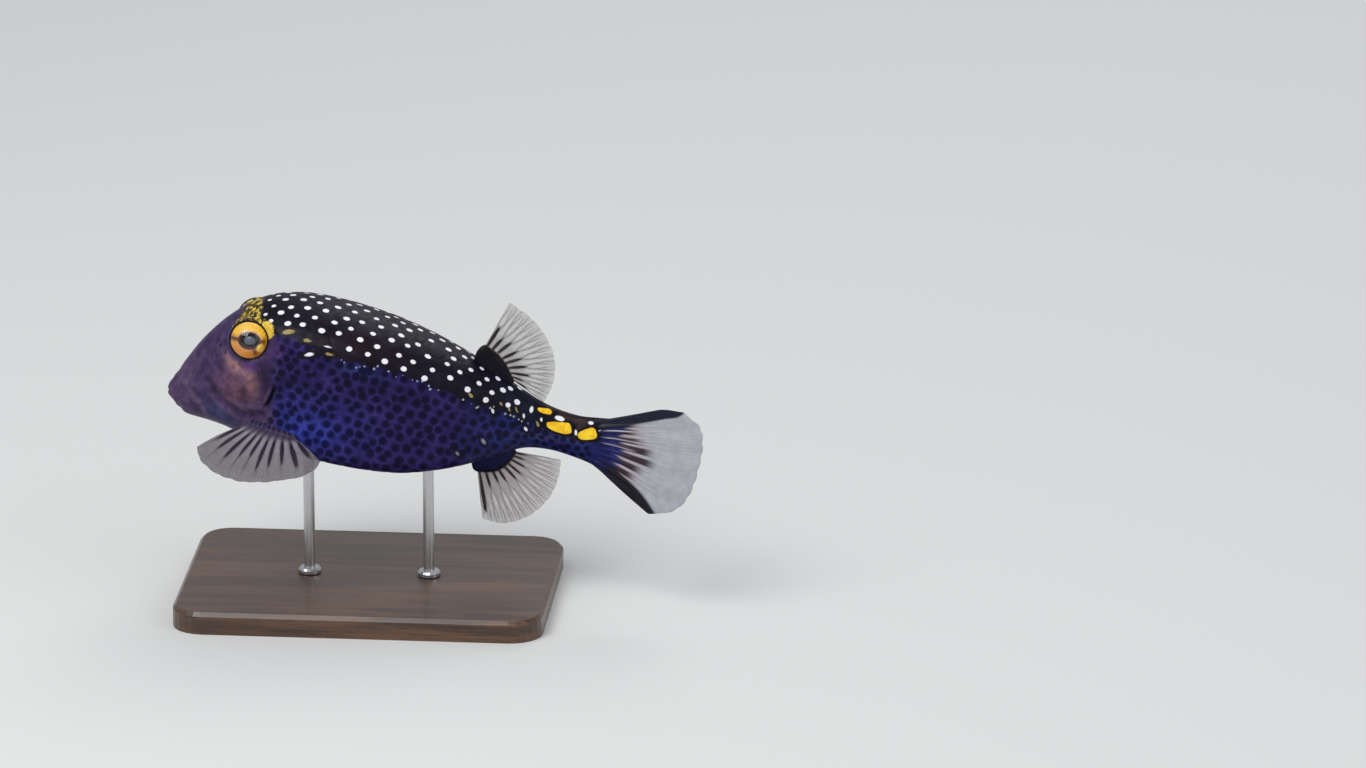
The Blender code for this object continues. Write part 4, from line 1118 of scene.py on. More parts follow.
# %% Put the skin's finish together
def skin_finish():
    f = Finish("boxfish_skin")
    wander = f.math("SUBTRACT", f.noise(1.3, 3), 0.5)
    fine, cloud = f.noise(0.35, 2), f.noise(7, 4)
    colour = with_black_back(f, flank_colour(f, wander, cloud), wander, cloud)
    colour = with_head_marks_and_crease_shade(f, with_marks(f, colour, wander, fine), fine)
    grains = f.times(f.rise(f.cells(0.55), 0.15, 0.55, 1.0, 0.0), f.rise(f.noise(3, 2), 0.3, 0.7, 0.3, 1.0))
    normal = f.bump(grains, 0.035, 0.8)
    normal = f.bump(f.noise(0.25, 2), 0.012, 0.7, normal)
    normal = f.bump(cloud, 0.25, 0.35, normal)
    roughness = f.rise(f.noise(1.5, 3), 0.3, 0.75, 0.34, 0.54)
    return f.done(Base_Color=colour, Roughness=roughness, Normal=normal, Specular_IOR_Level=0.12)


skin_look = skin_finish()
print("nodes in the skin's finish:", len(skin_look.node_tree.nodes))

# %% Make the skin
bare_cheek = smoothstep(0.2, 0.6, patch(29, 8, 5, 9))
dotted = smoothstep(30.5, 34.5, net_x) * smoothstep(138, 134, net_x) * (1 - bare_cheek)
dotted *= smoothstep(9.5, 13.5, eye_far)
# Painted shade in the creases: a soft painted shadow along each gill slit with a darker line in it, black in
# the nostrils, in the eye sockets under the rims and inside the mouth.
gill_slit_shade = 0.45 * bell(gill_gap, 1.3) + 0.25 * bell(gill_gap, 0.45) * gill_share
crease_shade = np.clip(gill_slit_shade + 0.6 * smoothstep(1.2, 0.7, nostril_hole), 0, 1)
crease_shade = np.maximum(crease_shade, np.where(past_rim < 0, 0.96, 0.96 * smoothstep(0.40, 0.12, rim_mm)))
crease_shade = np.maximum(crease_shade, smoothstep(0.80, 0.88, lip_share))
fields = {
    "dark": dark_inside, "cell": cell_gap, "dotted": dotted, "back": back_inside,
    "white": white_inside, "yellow": yellow_inside, "gold": gold_inside, "pale": pale_inside,
    "fleck": fleck_inside, "rear": smoothstep(75, 95, net_x), "head": smoothstep(33, 29, net_x),
    "gold_bar": gold_bar, "bar_bright": bar_bright,
    "crease_shade": crease_shade, "pale_edge": 0.5 * bell(gill_front - 1.3, 0.5) * gill_share,
    "lip": smoothstep(0.1, 0.4, lip_share) * smoothstep(0.9, 0.8, lip_share) * 0.55,
}
add_piece(
    "skin", skin_points, net_faces, skin_look,
    ("head", "upper_lip", "lower_lip", "carapace", "tail_stalk"),
    fields, {"ground": ground, "back_ground": back_ground}, weld=True,
)

# %% [markdown]
# ## The eyes
#
# A fish's eye is a ball with a clear dome in front, a metallic iris under it and a round lens in the pupil.
# One painted ball would look dead. Three shells at their real depths give the small shadows and the one
# bright glint that bring an eye to life: the gold iris, the dark lens, whose cloudy grey-blue middle is
# also a painted reflection, and the clear dome.

# %% Shells turned round the eye's axis
EYE_SEGMENTS = 112
PUPIL_RADIUS, IRIS_EDGE = 3.25, 5.95


def turned_shell(side, profile, flatten=1.0, slide=0.0):
    """Points and faces of a profile of (radius, height) turned round the eye's axis, and each point's
    place across the eye. Flatten gives each ring's share of height to width, and slide how far it lies
    towards the tail."""
    centre, out, tailward, rise = eye_frame(side)
    angles = np.linspace(0, 2 * math.pi, EYE_SEGMENTS, endpoint=False)
    radius, height = np.array(profile).T
    flatten, slide = np.zeros(len(profile)) + flatten, np.zeros(len(profile)) + slide
    across, tall = radius[:, None] * np.cos(angles), (radius * flatten)[:, None] * np.sin(angles)
    points = centre + across[..., None] * tailward + tall[..., None] * rise + height[:, None, None] * out
    points = points + slide[:, None, None] * tailward
    faces = []
    for i in range(len(profile) - 1):
        for j in range(EYE_SEGMENTS):
            a, b = i * EYE_SEGMENTS + j, i * EYE_SEGMENTS + (j + 1) % EYE_SEGMENTS
            faces.append((a, b, b + EYE_SEGMENTS, a + EYE_SEGMENTS))
    flat = points.reshape(-1, 3)
    ends = [centre + out * height[k] + tailward * slide[k] for k in (0, -1)]
    count, last = len(flat), (len(profile) - 1) * EYE_SEGMENTS
    faces += [(count, (j + 1) % EYE_SEGMENTS, j) for j in range(EYE_SEGMENTS)]
    faces += [(count + 1, last + j, last + (j + 1) % EYE_SEGMENTS) for j in range(EYE_SEGMENTS)]
    across, tall = (np.append(part.ravel(), [0, 0]) for part in (across, tall))
    return np.concatenate([flat, ends]), faces, across, tall


# %% Gold of the iris
def iris_finish():
    f = Finish("gold_iris")
    ring, upness = f.field("ring"), f.field("upness")
    threads = f.math("SUBTRACT", f.field("threads"), 0.5)
    gold = f.mix(f.rise(upness, -0.5, 0.7), (0.80, 0.29, 0.020), (1.0, 0.58, 0.028))
    light = f.rise(f.plus(f.noise(0.6, 3), threads, 0.5), 0.2, 0.75)
    gold = f.mix(light, f.mix(0.35, gold, (0.25, 0.07, 0.01)), gold)
    ragged = f.plus(ring, f.math("SUBTRACT", f.noise(0.8, 2), 0.5), 0.16)
    rose = f.times(f.rise(ragged, 0.62, 0.84), f.rise(upness, -0.6, 0.9, 0.35, 0.9))
    gold = f.mix(rose, gold, (0.50, 0.25, 0.20))
    gold = f.mix(f.rise(ragged, 0.82, 0.90), gold, (0.030, 0.010, 0.012))
    gold = f.mix(f.rise(ragged, 0.10, 0.02), gold, (0.100, 0.030, 0.006))
    gold = f.mix(f.field("brown"), gold, (0.085, 0.022, 0.012))
    gold = f.mix(f.field("spot"), gold, (0.98, 0.60, 0.09))
    normal = f.bump(f.field("threads"), 0.05, 0.5, f.bump(f.noise(0.4, 3), 0.03, 0.5))
    roughness = f.rise(ring, 0.9, 1.0, 0.34, 0.85)
    return f.done(Base_Color=gold, Roughness=roughness, Normal=normal, Specular_IOR_Level=0.4)


# %% Iris
IRIS_BACK = ((3.4, -2.2), (5.2, -1.2), (5.9, 0.4))
IRIS_RINGS, IRIS_FOOT, IRIS_RISE, IRIS_THREADS = 30, 2.12, 1.9, 38
PUPIL_WALL = (
    (3.21, 4.0), (3.17, 3.95), (3.13, 3.86), (3.10, 3.72), (3.06, 3.5), (3.0, 3.28), (2.88, 3.1), (2.7, 2.95),
    (2.4, 2.78), (2.0, 2.62), (0.4, 2.4),
)
PUPIL_FLATTEN, PUPIL_BACK = 0.72, 0.55
# Each brown notch has its place on the clock in degrees, width, inner and outer end, and strength.
NOTCHES = ((178, 0.19, 0.1, -0.2, 1.0), (3, 0.17, 0.5, 0.0, 0.9), (-57, 0.20, 0.5, -0.1, 0.85))
SPOT_AT, SPOT_EDGE = (3.75, -1.95), (1.42, 1.15)


def iris(side):
    """Points, faces and fields of an iris. Ring is 0 at its outer edge and 1 inside the pupil."""
    face = np.linspace(0, 1, IRIS_RINGS)
    radius = IRIS_EDGE + (PUPIL_RADIUS - IRIS_EDGE) * face
    height = IRIS_FOOT + IRIS_RISE * np.sin(face * math.pi / 2)
    share = np.concatenate([np.zeros(len(IRIS_BACK)), face, np.ones(len(PUPIL_WALL))])
    profile = [*IRIS_BACK, *zip(radius, height), *PUPIL_WALL]
    flatten = 1 - (1 - PUPIL_FLATTEN) * share
    points, faces, across, tall = turned_shell(side, profile, flatten, PUPIL_BACK * share)
    ring = np.append(np.repeat(share, EYE_SEGMENTS), [0, 1])
    turn = np.arctan2(tall, across)
    waves = np.sin(turn * IRIS_THREADS + 2.2 * np.sin(turn * 5) + ring * 2)
    brown = np.zeros(len(ring))
    for degrees, width, inner, outer, strength in NOTCHES:
        off = np.angle(np.exp(1j * (turn - math.radians(degrees))))
        brown += bell(off, width) * smoothstep(outer, inner, ring) * strength
    return points, faces, {
        "ring": ring, "upness": np.sin(turn), "threads": 0.5 + 0.5 * waves * smoothstep(0.90, 0.65, ring),
        "spot": smoothstep(*SPOT_EDGE, np.hypot(across - SPOT_AT[0], tall - SPOT_AT[1])),
        "brown": np.clip(brown, 0, 1),
    }


# %% Lens and clear dome
LENS_RADIUS, LENS_HALF_DEPTH, LENS_HEIGHT = 2.95, 2.0, 2.05
DOME_THICKNESS, DOME_SPAN = 0.12, math.radians(76)
POLE = 0.02


def lens(side):
    """Points, faces and the ring field of a lens."""
    angles = np.linspace(POLE, math.pi - POLE, 28)
    profile = [(LENS_RADIUS * math.sin(a), LENS_HEIGHT + LENS_HALF_DEPTH * math.cos(a)) for a in angles]
    points, faces, across, tall = turned_shell(side, profile, PUPIL_FLATTEN, PUPIL_BACK)
    return points, faces, {"ring": np.hypot(across, tall / PUPIL_FLATTEN) / LENS_RADIUS}


def dome(side):
    """Points and faces of a dome: an outer face, and an inner face a little below it."""
    angles = np.linspace(POLE, DOME_SPAN, 26)
    faces_of_dome = ((EYE_RADIUS, angles), (EYE_RADIUS - DOME_THICKNESS, angles[::-1]))
    profile = [(radius * math.sin(a), radius * math.cos(a)) for radius, turns in faces_of_dome for a in turns]
    return turned_shell(side, profile)[:2]


def lens_finish():
    f = Finish("lens_with_painted_reflection")
    # Painted reflection: the grey-blue middle stands for the cloudy lens and for a reflection on it; its rim
    # is dark.
    haze_and_reflection = f.mix(f.noise(2.2, 3), (0.06, 0.08, 0.11), (0.12, 0.15, 0.19))
    colour = f.mix(f.rise(f.field("ring"), 0.50, 0.72), haze_and_reflection, (0.006, 0.005, 0.009))
    return f.done(Base_Color=colour, Roughness=0.25, Specular_IOR_Level=0.3)


def dome_finish():
    """Clear, with a faint gloss that grows where the dome turns away from the eye that looks at it."""
    f = Finish("clear_dome")
    nodes, links = f.tree.nodes, f.tree.links
    facing = nodes.new("ShaderNodeLayerWeight").outputs["Facing"]
    share = f.math("ADD", f.times(f.math("POWER", facing, 4.0), 0.35), 0.025)
    gloss = nodes.new("ShaderNodeBsdfGlossy")
    gloss.inputs["Roughness"].default_value = 0.04
    clear = nodes.new("ShaderNodeBsdfTransparent")
    blend = nodes.new("ShaderNodeMixShader")
    links.new(share, blend.inputs[0])
    links.new(clear.outputs[0], blend.inputs[1])
    links.new(gloss.outputs[0], blend.inputs[2])
    links.new(blend.outputs[0], nodes["Material Output"].inputs["Surface"])
    nodes.remove(f.shader)
    return f.material


# %% Make the eyes
iris_look, lens_look, dome_look = iris_finish(), lens_finish(), dome_finish()
for side in SIDES:
    points, faces, fields = iris(side)
    add_piece(f"eye_{side}_iris", points, faces, iris_look, (f"eye_{side}",), fields)
    points, faces, fields = lens(side)
    add_piece(f"eye_{side}_lens", points, faces, lens_look, (), fields)
    points, faces = dome(side)
    add_piece(f"eye_{side}_dome", points, faces, dome_look)

# %% [markdown]
# ## The fins
#
# A fin is a thin clear sheet held by soft rays. Each ray is one rod at the root, splits in two part of the
# way out and in two again near the edge. Separate rods glued on a sheet would look like wires, so the rays
# are thickenings of the sheet itself: the sheet's two faces part where a ray runs. One function folds the
# distance across a ray twice, which draws all its branches at once. The side fin, the back fin, the anal
# fin and the tail fin differ only in the surface they lie on and in their paint.

# %% Surfaces of the fins
FIN_CUP, PECTORAL_CUP = 0.004, 0.006
PECTORAL_ROOT = np.array([31.6, -17.8, 0.0])
PECTORAL_OUT = np.array([-0.25, -0.70, -0.66]) / np.linalg.norm([-0.25, -0.70, -0.66])
PECTORAL_BACK = np.array([0.96, -0.26, -0.09]) / np.linalg.norm([0.96, -0.26, -0.09])
RAYS = {"dorsal": 9, "anal": 9, "caudal": 10, "pectoral": 10}


def median_fin(arc_points, angle, length, lean, curl=((0, 0), (1, 0))):
    """A fin in the fish's middle plane: its rays start on an arc and fan out. Curl bends a ray by so many
    degrees near its tip."""
    arc_x = curve(*[(q, x) for q, x, _ in arc_points])
    arc_z = curve(*[(q, z) for q, _, z in arc_points])
    angle, length, curl = curve(*angle), curve(*length), curve(*curl)

    def at(q, s):
        reach = length(q) * s
        turn = np.radians(angle(q) + curl(q) * smoothstep(0.70, 1.05, s))
        side = lean * reach + FIN_CUP * reach * reach
        return np.stack([arc_x(q) + reach * np.cos(turn), side, arc_z(q) + reach * np.sin(turn)], -1)

    return at


PECTORAL_BASE = (
    curve((0, 27.5), (0.5, 34.0), (1, 42.2)),
    curve((0, -17.4), (0.5, -19.4), (1, -21.3)),
    curve((0, -1.9), (0.5, -3.0), (1, -4.2)),
)
PECTORAL_BULGE = 1.2


def pectoral_fin(side):
    """A side fin on a slanting base behind the gill slit, spread forward, out and down."""
    square = np.cross(PECTORAL_OUT, PECTORAL_BACK)
    square /= np.linalg.norm(square)
    angle = curve((0, -40), (0.12, -28), (0.3, -9), (0.6, 20), (0.85, 46), (1, 66))
    length = curve((0, 23.0), (0.12, 24.8), (0.3, 25.3), (0.7, 25.3), (0.85, 27.0), (0.95, 28.0), (1, 26.8))

    def at(q, s):
        turn, reach = np.radians(angle(q))[..., None], length(q)[..., None]
        way = PECTORAL_OUT * np.cos(turn) + PECTORAL_BACK * np.sin(turn)
        tip = PECTORAL_ROOT + way * reach + square * PECTORAL_CUP * reach * reach
        base = np.stack([part(q) for part in PECTORAL_BASE], -1)
        share = np.asarray(s, float)[..., None]
        bulge = square * PECTORAL_BULGE * np.sin(math.pi * share)
        return to_side(base + (tip - base) * share + bulge, side)

    return at


# %% The five fins
TAIL_X = BODY_LENGTH + 0.3
FINS = {
    "dorsal_fin": median_fin(
        ((0, 96.9, 25.2), (0.25, 100.3, 23.2), (0.5, 103.1, 20.5), (0.75, 105.0, 17.8), (1, 106.7, 15.5)),
        ((0, 66), (0.5, 20), (1, -33)), ((0, 16.2), (0.3, 16.2), (0.6, 15.4), (1, 11.9)), 0.06,
    ),
    "anal_fin": median_fin(
        ((0, 97.9, -14.9), (0.3, 103.0, -14.2), (0.55, 106.2, -12.0), (0.8, 108.0, -9.5), (1, 108.9, -7.8)),
        ((0, -80), (0.5, -44), (1, -3)),
        ((0, 16.4), (0.12, 18.4), (0.3, 18.8), (0.6, 17.8), (1, 15.0)), -0.05,
    ),
    "caudal_fin": median_fin(
        ((0, TAIL_X, 7.1), (0.5, TAIL_X, -0.6), (1, TAIL_X, -9.0)),
        ((0, 20.5), (0.5, -6.5), (1, -33.5)),
        ((0, 27.0), (0.18, 32.5), (0.5, 32.5), (0.8, 29.6), (1, 21.2)), -0.03, ((0, -5), (0.3, 0), (1, 0)),
    ),
    "pectoral_fin_left": pectoral_fin("left"),
    "pectoral_fin_right": pectoral_fin("right"),
}
for name, at in FINS.items():
    print(name, "reaches", np.linalg.norm(at(np.array([0.5]), 1) - at(np.array([0.5]), 0)).round(1), "mm out")

# %% Branching rays
PER_RAY, FIN_ROWS, EDGE_COLUMNS = 22, 60, 13
RAY_SPREAD = 0.27
FIRST_SPLIT, FIRST_PART, SECOND_SPLIT, SECOND_PART = (0.22, 0.62), 0.25, (0.55, 0.85), 0.125


def square_to(at, q, s):
    """The direction square to a fin's surface."""
    step = 0.02
    out = np.cross(at(q, s + step) - at(q, s - step), at(q + step, s) - at(q - step, s))
    return out / (np.linalg.norm(out, axis=-1, keepdims=True) + 1e-12)


def ray_place(q, s, rays):
    """Which ray is nearest, how far off it is in ray spacings, and how far off its nearest branch is."""
    margin = RAY_SPREAD / (rays - 1)
    number = np.clip(np.round((q - margin) / (1 - 2 * margin) * (rays - 1)), 0, rays - 1)
    off = (q - margin) / (1 - 2 * margin) * (rays - 1) - number
    first = FIRST_PART * smoothstep(*FIRST_SPLIT, s)
    second = SECOND_PART * smoothstep(*SECOND_SPLIT, s)
    branch = np.abs(np.abs(np.abs(off) - first) - second)
    return number.astype(int), off, branch


# %% The sheet of a fin
SHEET_HALF, RAY_ROOT_HALF, RAY_TIP_HALF, RAY_BREADTH = 0.10, 0.42, 0.15, 1.15
JOINT_SWELL, EDGE_THINNING, SCALLOP, SWAY = 0.06, 0.35, 0.010, 0.16


def twice(values):
    """The same values for the upper and the under face."""
    return np.concatenate([values.ravel(), values.ravel()])


def fin_mesh(at, rays, root_swell=0.0, first_row=0.0):
    """Points and faces of a closed fin, and q, s and the ray distances for each point."""
    columns = (rays - 1) * PER_RAY + EDGE_COLUMNS
    q, s = np.meshgrid(np.linspace(0, 1, columns), np.linspace(first_row, 1, FIN_ROWS + 1), indexing="ij")
    number, off, branch = ray_place(q, s, rays)
    spacing = np.linalg.norm(at(q + 0.01, s) - at(q - 0.01, s), axis=-1) / 0.02 / (rays - 1)
    away = branch * spacing
    ray_half = RAY_ROOT_HALF + (RAY_TIP_HALF - RAY_ROOT_HALF) * smoothstep(0, 0.8, s)
    joints = 1 + JOINT_SWELL * np.sin(s * 120) * smoothstep(0.35, 0.6, s)
    ridge = bell(away, ray_half * RAY_BREADTH) * joints
    edge = np.minimum(q, 1 - q)
    thin = (1 - EDGE_THINNING * smoothstep(0.9, 1.0, s)) * smoothstep(-0.006, 0.006, edge)
    half_thick = (SHEET_HALF + (ray_half - SHEET_HALF) * ridge) * thin
    half_thick = half_thick + root_swell * bell(s, 0.10) * smoothstep(0, 0.14, edge) ** 0.5
    scallop = 1 - SCALLOP * smoothstep(0.10, 0.5, np.abs(off)) * smoothstep(0.8, 1, s)
    sway = SWAY * np.sin(q * rays * 3.1 + s * 2.5) * smoothstep(0.15, 0.9, s)
    out = square_to(at, q, s)
    middle = at(q, s * scallop) + out * sway[..., None]
    top, under = middle + out * half_thick[..., None], middle - out * half_thick[..., None]
    rows = FIN_ROWS + 1
    far = columns * rows
    i, j = np.meshgrid(np.arange(columns - 1), np.arange(rows - 1), indexing="ij")
    a = (i * rows + j).ravel()
    quads = np.stack([a, a + rows, a + rows + 1, a + 1], 1)
    faces = quads.tolist() + (quads[:, ::-1] + far).tolist()
    rim = list(range(rows)) + [k * rows + rows - 1 for k in range(1, columns)]
    rim += [(columns - 1) * rows + j for j in range(rows - 2, -1, -1)]
    rim += [k * rows for k in range(columns - 2, 0, -1)]
    faces += [(a, b, b + far, a + far) for a, b in zip(rim, rim[1:] + rim[:1])]
    points = np.concatenate([top.reshape(-1, 3), under.reshape(-1, 3)])
    return points, faces, twice(q), twice(s), twice(number).astype(int), twice(off), twice(ridge)


# %% Paint for the soft fins
class Paint:
    """The colour at each point of a fin, and its cover, which is how solid the fin looks there."""

    def __init__(self, colour, cover):
        self.colour = np.tile(np.array(colour), (len(cover), 1))
        self.cover = cover

    def lay(self, colour, share, cover=None):
        """Lays a colour over the fin, by the share at each point, and may change the cover alike."""
        share = np.clip(share, 0, 1)
        self.colour = laid_over(self.colour, colour, share)
        if cover is not None:
            self.cover = self.cover * (1 - share) + cover * share


def paint_soft_fin(s, number, off, ridge, rays, look):
    """A clear fin with a dark streak on each ray and pale lines between the streaks."""
    pick = np.random.default_rng(look["seed"])
    starts = look["start"] + pick.uniform(-0.02, 0.02, rays)
    ends = starts + look["length"] * pick.uniform(0.7, 1.25, rays)
    ends[0] += look["lead"]
    shifts = pick.uniform(-0.08, 0.08, rays)
    paint = Paint(look["ground"], look["cover"] + 0.2 * smoothstep(0.35, 0.0, s))
    between = smoothstep(0.08, 0.40, np.abs(off)) * smoothstep(look["pale_end"], 0.05, s)
    paint.lay(look["pale"], between * 0.9, 0.92)
    paint.lay(look["ray"], np.clip(ridge, 0, 1) * 0.8 * smoothstep(1.02, 0.8, s), 0.78)
    thread = np.abs(np.abs(off) - 0.30)
    paint.lay(look["ray"], bell(thread, 0.05) * smoothstep(0.35, 0.6, s) * 0.45, 0.7)
    paint.lay(look["root"], smoothstep(look["root_end"], 0.3 * look["root_end"], s) * 0.9, 0.97)
    line = bell(off, 0.07) * smoothstep(0.06, 0.16, s) * smoothstep(0.98, 0.6, s) * look["line"]
    paint.lay(look["dark"], line, 0.95)
    first, last = starts[number], ends[number]
    run = smoothstep(first - 0.03, first + 0.03, s) * smoothstep(last + 0.07, last - 0.04, s)
    taper = 0.5 + 0.5 * np.sin(np.pi * np.clip((s - first) / (last - first), 0, 1) ** 0.8)
    across = np.abs(off - shifts[number]) / look["width"] / taper
    paint.lay(look["dark"], smoothstep(1.15, 0.75, across) * run * 0.97, 0.98)
    return paint


# %% Paint for the tail fin
TAIL_SEED, TAIL_WIDE, TAIL_FAN = 23, 16.1, 25
# Each pale line has its place across the fin and its end along it.
PALE_LINES = ((0.21, 0.38), (0.34, 0.46), (0.45, 0.40))
TOP_BAND, LOW_BAND = 3.2, 4.5


def paint_tail_fin(q, s, number, off, ridge, rays):
    """The tail fin: deep blue at its root, black at both margins, dark streaks, and pale grey behind."""
    pick = np.random.default_rng(TAIL_SEED)
    paint = Paint((0.47, 0.49, 0.53), np.full(len(q), 0.78))
    paint.lay((0.54, 0.54, 0.57), np.clip(ridge, 0, 1) * 0.35, 0.86)
    paint.lay((0.50, 0.41, 0.45), smoothstep(0.62, 0.3, s) * 0.7, 0.9)
    ends = 0.50 - 0.9 * (np.arange(rays) / (rays - 1) - 0.55) ** 2 + pick.uniform(-0.07, 0.07, rays)
    shifts = pick.uniform(-0.10, 0.10, rays)
    streak = smoothstep(0.42, 0.28, np.abs(off - shifts[number]))
    streak = streak * smoothstep(ends[number] + 0.08, ends[number] - 0.08, s)
    paint.lay((0.022, 0.008, 0.013), streak * 0.97, 0.99)
    fringe = 0.235 + 0.035 * np.sin(q * 40) + 0.02 * np.sin(q * 93 + 1) + 0.05 * smoothstep(0.35, 0.1, q)
    paint.lay((0.007, 0.009, 0.075), smoothstep(fringe + 0.04, fringe - 0.06, s), 1.0)
    paint.lay((0.014, 0.018, 0.150), bell(q - 0.55, 0.22) * bell(s - 0.12, 0.09) * 0.7)
    for line, last in PALE_LINES:
        thin = bell(q - line - 0.03 * s, 0.008) * smoothstep(0.02, 0.10, s) * smoothstep(last, last - 0.1, s)
        paint.lay((0.60, 0.56, 0.62), thin * 0.9, 1.0)
    wide = TAIL_WIDE + TAIL_FAN * s
    top_band = TOP_BAND * smoothstep(1.03, 0.78, s) ** 0.6
    paint.lay((0.007, 0.008, 0.024), smoothstep(top_band + 0.35, top_band - 0.35, q * wide), 1.0)
    low_band = LOW_BAND * smoothstep(1.25, 0.45, s) ** 0.6
    low_share = smoothstep(low_band + 0.5, low_band - 0.5, (1 - q) * wide)
    paint.lay((0.005, 0.004, 0.010), low_share * smoothstep(0.0, 0.16, s), 1.0)
    return paint


# %% The fins' finish
def fin_finish(name):
    f = Finish(name)
    paint, cover = f.field("paint", "Color"), f.field("cover")
    colour = f.mix(f.rise(f.noise(2.5, 3), 0.3, 0.7), f.darker(paint, 0.14), paint)
    solid = f.plus(cover, f.math("SUBTRACT", f.noise(2.0, 3), 0.5), 0.10, clamp=True)
    normal = f.bump(f.noise(0.6, 2), 0.010, 0.5)
    return f.done(Base_Color=colour, Alpha=solid, Roughness=0.42, Normal=normal, Specular_IOR_Level=0.25)


soft_look, tail_look = fin_finish("clear_fin"), fin_finish("tail_fin")

# %% Make the five fins
DORSAL_LOOK = {
    "seed": 3, "start": 0.05, "length": 0.33, "width": 0.24, "ground": (0.26, 0.25, 0.25), "cover": 0.20,
    "pale": (0.60, 0.55, 0.54), "pale_end": 0.52, "ray": (0.30, 0.27, 0.26), "dark": (0.012, 0.006, 0.008),
    "root": (0.010, 0.008, 0.012), "root_end": 0.10, "line": 0.0, "lead": 0.20,
}
ANAL_LOOK = DORSAL_LOOK | {
    "seed": 5, "start": 0.03, "length": 0.26, "width": 0.20, "ground": (0.36, 0.31, 0.32), "cover": 0.28,
    "pale": (0.62, 0.53, 0.54), "pale_end": 0.85, "lead": 0.45,
}
PECTORAL_LOOK = {
    "seed": 11, "start": 0.20, "length": 0.48, "width": 0.22, "ground": (0.145, 0.130, 0.140), "cover": 0.66,
    "pale": (0.36, 0.31, 0.39), "pale_end": 0.90, "ray": (0.19, 0.165, 0.19), "dark": (0.016, 0.010, 0.022),
    "root": (0.040, 0.030, 0.070), "root_end": 0.24, "line": 0.6, "lead": 0.0,
}
SOFT_FINS = {
    "dorsal_fin": ("dorsal", DORSAL_LOOK),
    "anal_fin": ("anal", ANAL_LOOK),
    "pectoral_fin_left": ("pectoral", PECTORAL_LOOK),
    "pectoral_fin_right": ("pectoral", PECTORAL_LOOK),
}
for name, (kind, look) in SOFT_FINS.items():
    points, faces, _, s, number, off, ridge = fin_mesh(FINS[name], RAYS[kind])
    paint = paint_soft_fin(s, number, off, ridge, RAYS[kind], look)
    fields, colours = {"cover": paint.cover}, {"paint": paint.colour}
    add_piece(name + "_sheet", points, faces, soft_look, (name,), fields, colours)

TAIL_SWELL, TAIL_FIRST_ROW = 1.2, -0.05
tail = fin_mesh(FINS["caudal_fin"], RAYS["caudal"], TAIL_SWELL, TAIL_FIRST_ROW)
points, faces, q, s, number, off, ridge = tail
paint = paint_tail_fin(q, s, number, off, ridge, RAYS["caudal"])
fields, colours = {"cover": paint.cover}, {"paint": paint.colour}
add_piece("caudal_fin_sheet", points, faces, tail_look, ("caudal_fin",), fields, colours)

# %% [markdown]
# ## The fleshy roots of the fins
#
# A boxfish moves its fins through openings in the rigid shell, and each fin grows from a fleshy lobe there.
# The lobe is a loft between the fin's first edge and a smaller ring sunk into the body, so its foot is
# hidden and no gap shows.

# %% The shape of a lobe
LOBE_COLUMNS, LOBE_ROWS, LOBE_FIRST = 72, 26, 0.05
LOBE_HALVES = curve((0, 0.45), (0.1, 0.9), (0.35, 1.65), (0.7, 2.4), (1, 2.8))
PECTORAL_HALVES = curve((0, 0.42), (0.15, 0.8), (0.5, 1.15), (1, 1.4))


def lobe_mesh(at, buried, halves, overhang=0.0, drop=0.0):
    """A closed cushion from the fin's first edge down to the buried end. It may run ahead of the first ray
    by an overhang, where its crest drops towards the body."""
    count, deep = LOBE_COLUMNS, LOBE_ROWS
    q = np.linspace(-overhang, 1, count)
    ahead = np.minimum(q, 0)
    first = at(q - ahead, np.full(count, LOBE_FIRST)) + np.stack([13 * ahead, 0 * q, -drop * ahead**2], -1)
    out = square_to(at, q - ahead, np.zeros(count))
    foot = buried(q)
    rings = []
    depth = np.linspace(0, 1, deep)
    half = halves(depth)
    for k in range(count):
        line = first[k] + (foot[k] - first[k]) * (depth**1.2)[:, None]
        share = 0.5 + 0.5 * math.sin(math.pi * min(max(k / count, 0.03), 0.97)) ** 0.5
        wide = half * np.where(depth > 0.08, share, 0.7)
        ripple = 1 + 0.05 * math.sin(k * 1.9) * np.sin(depth * math.pi)
        push = out[k] * (wide * ripple)[:, None]
        rings.append(np.concatenate([line + push, (line - push)[::-1]]))
    size = 2 * deep
    points = np.concatenate(rings)
    faces = []
    for k in range(count - 1):
        for j in range(size):
            n = (j + 1) % size
            faces.append((k * size + j, k * size + n, (k + 1) * size + n, (k + 1) * size + j))
    faces.append(tuple(range(size))[::-1])
    faces.append(tuple((count - 1) * size + j for j in range(size)))
    shade = np.tile(np.concatenate([depth, depth[::-1]]), count)
    along = np.repeat(q, size)
    return points, faces, shade, along


# %% The lobes' finish
def lobe_finish(name, dark, light, streaky, skin_side):
    """Flesh that is dark at the fin and takes the colour of the skin beside it further in."""
    f = Finish(name)
    cloud = f.noise(1.6, 3)
    patchy = f.rise(cloud, 0.35, 0.7)
    inward = f.rise(f.plus(f.field("inward"), cloud, 0.15), 0.22, 0.42)
    colour = f.mix(inward, f.mix(patchy, dark, light), f.mix(patchy, f.darker(skin_side, 0.45), skin_side))
    lines = f.rise(f.field("lines"), 0.72, 0.98)
    colour = f.mix(f.times(lines, streaky), colour, (0.34, 0.30, 0.36))
    normal = f.bump(f.noise(0.5, 3), 0.05, 0.7)
    return f.done(Base_Color=colour, Roughness=0.46, Normal=normal, Specular_IOR_Level=0.12)


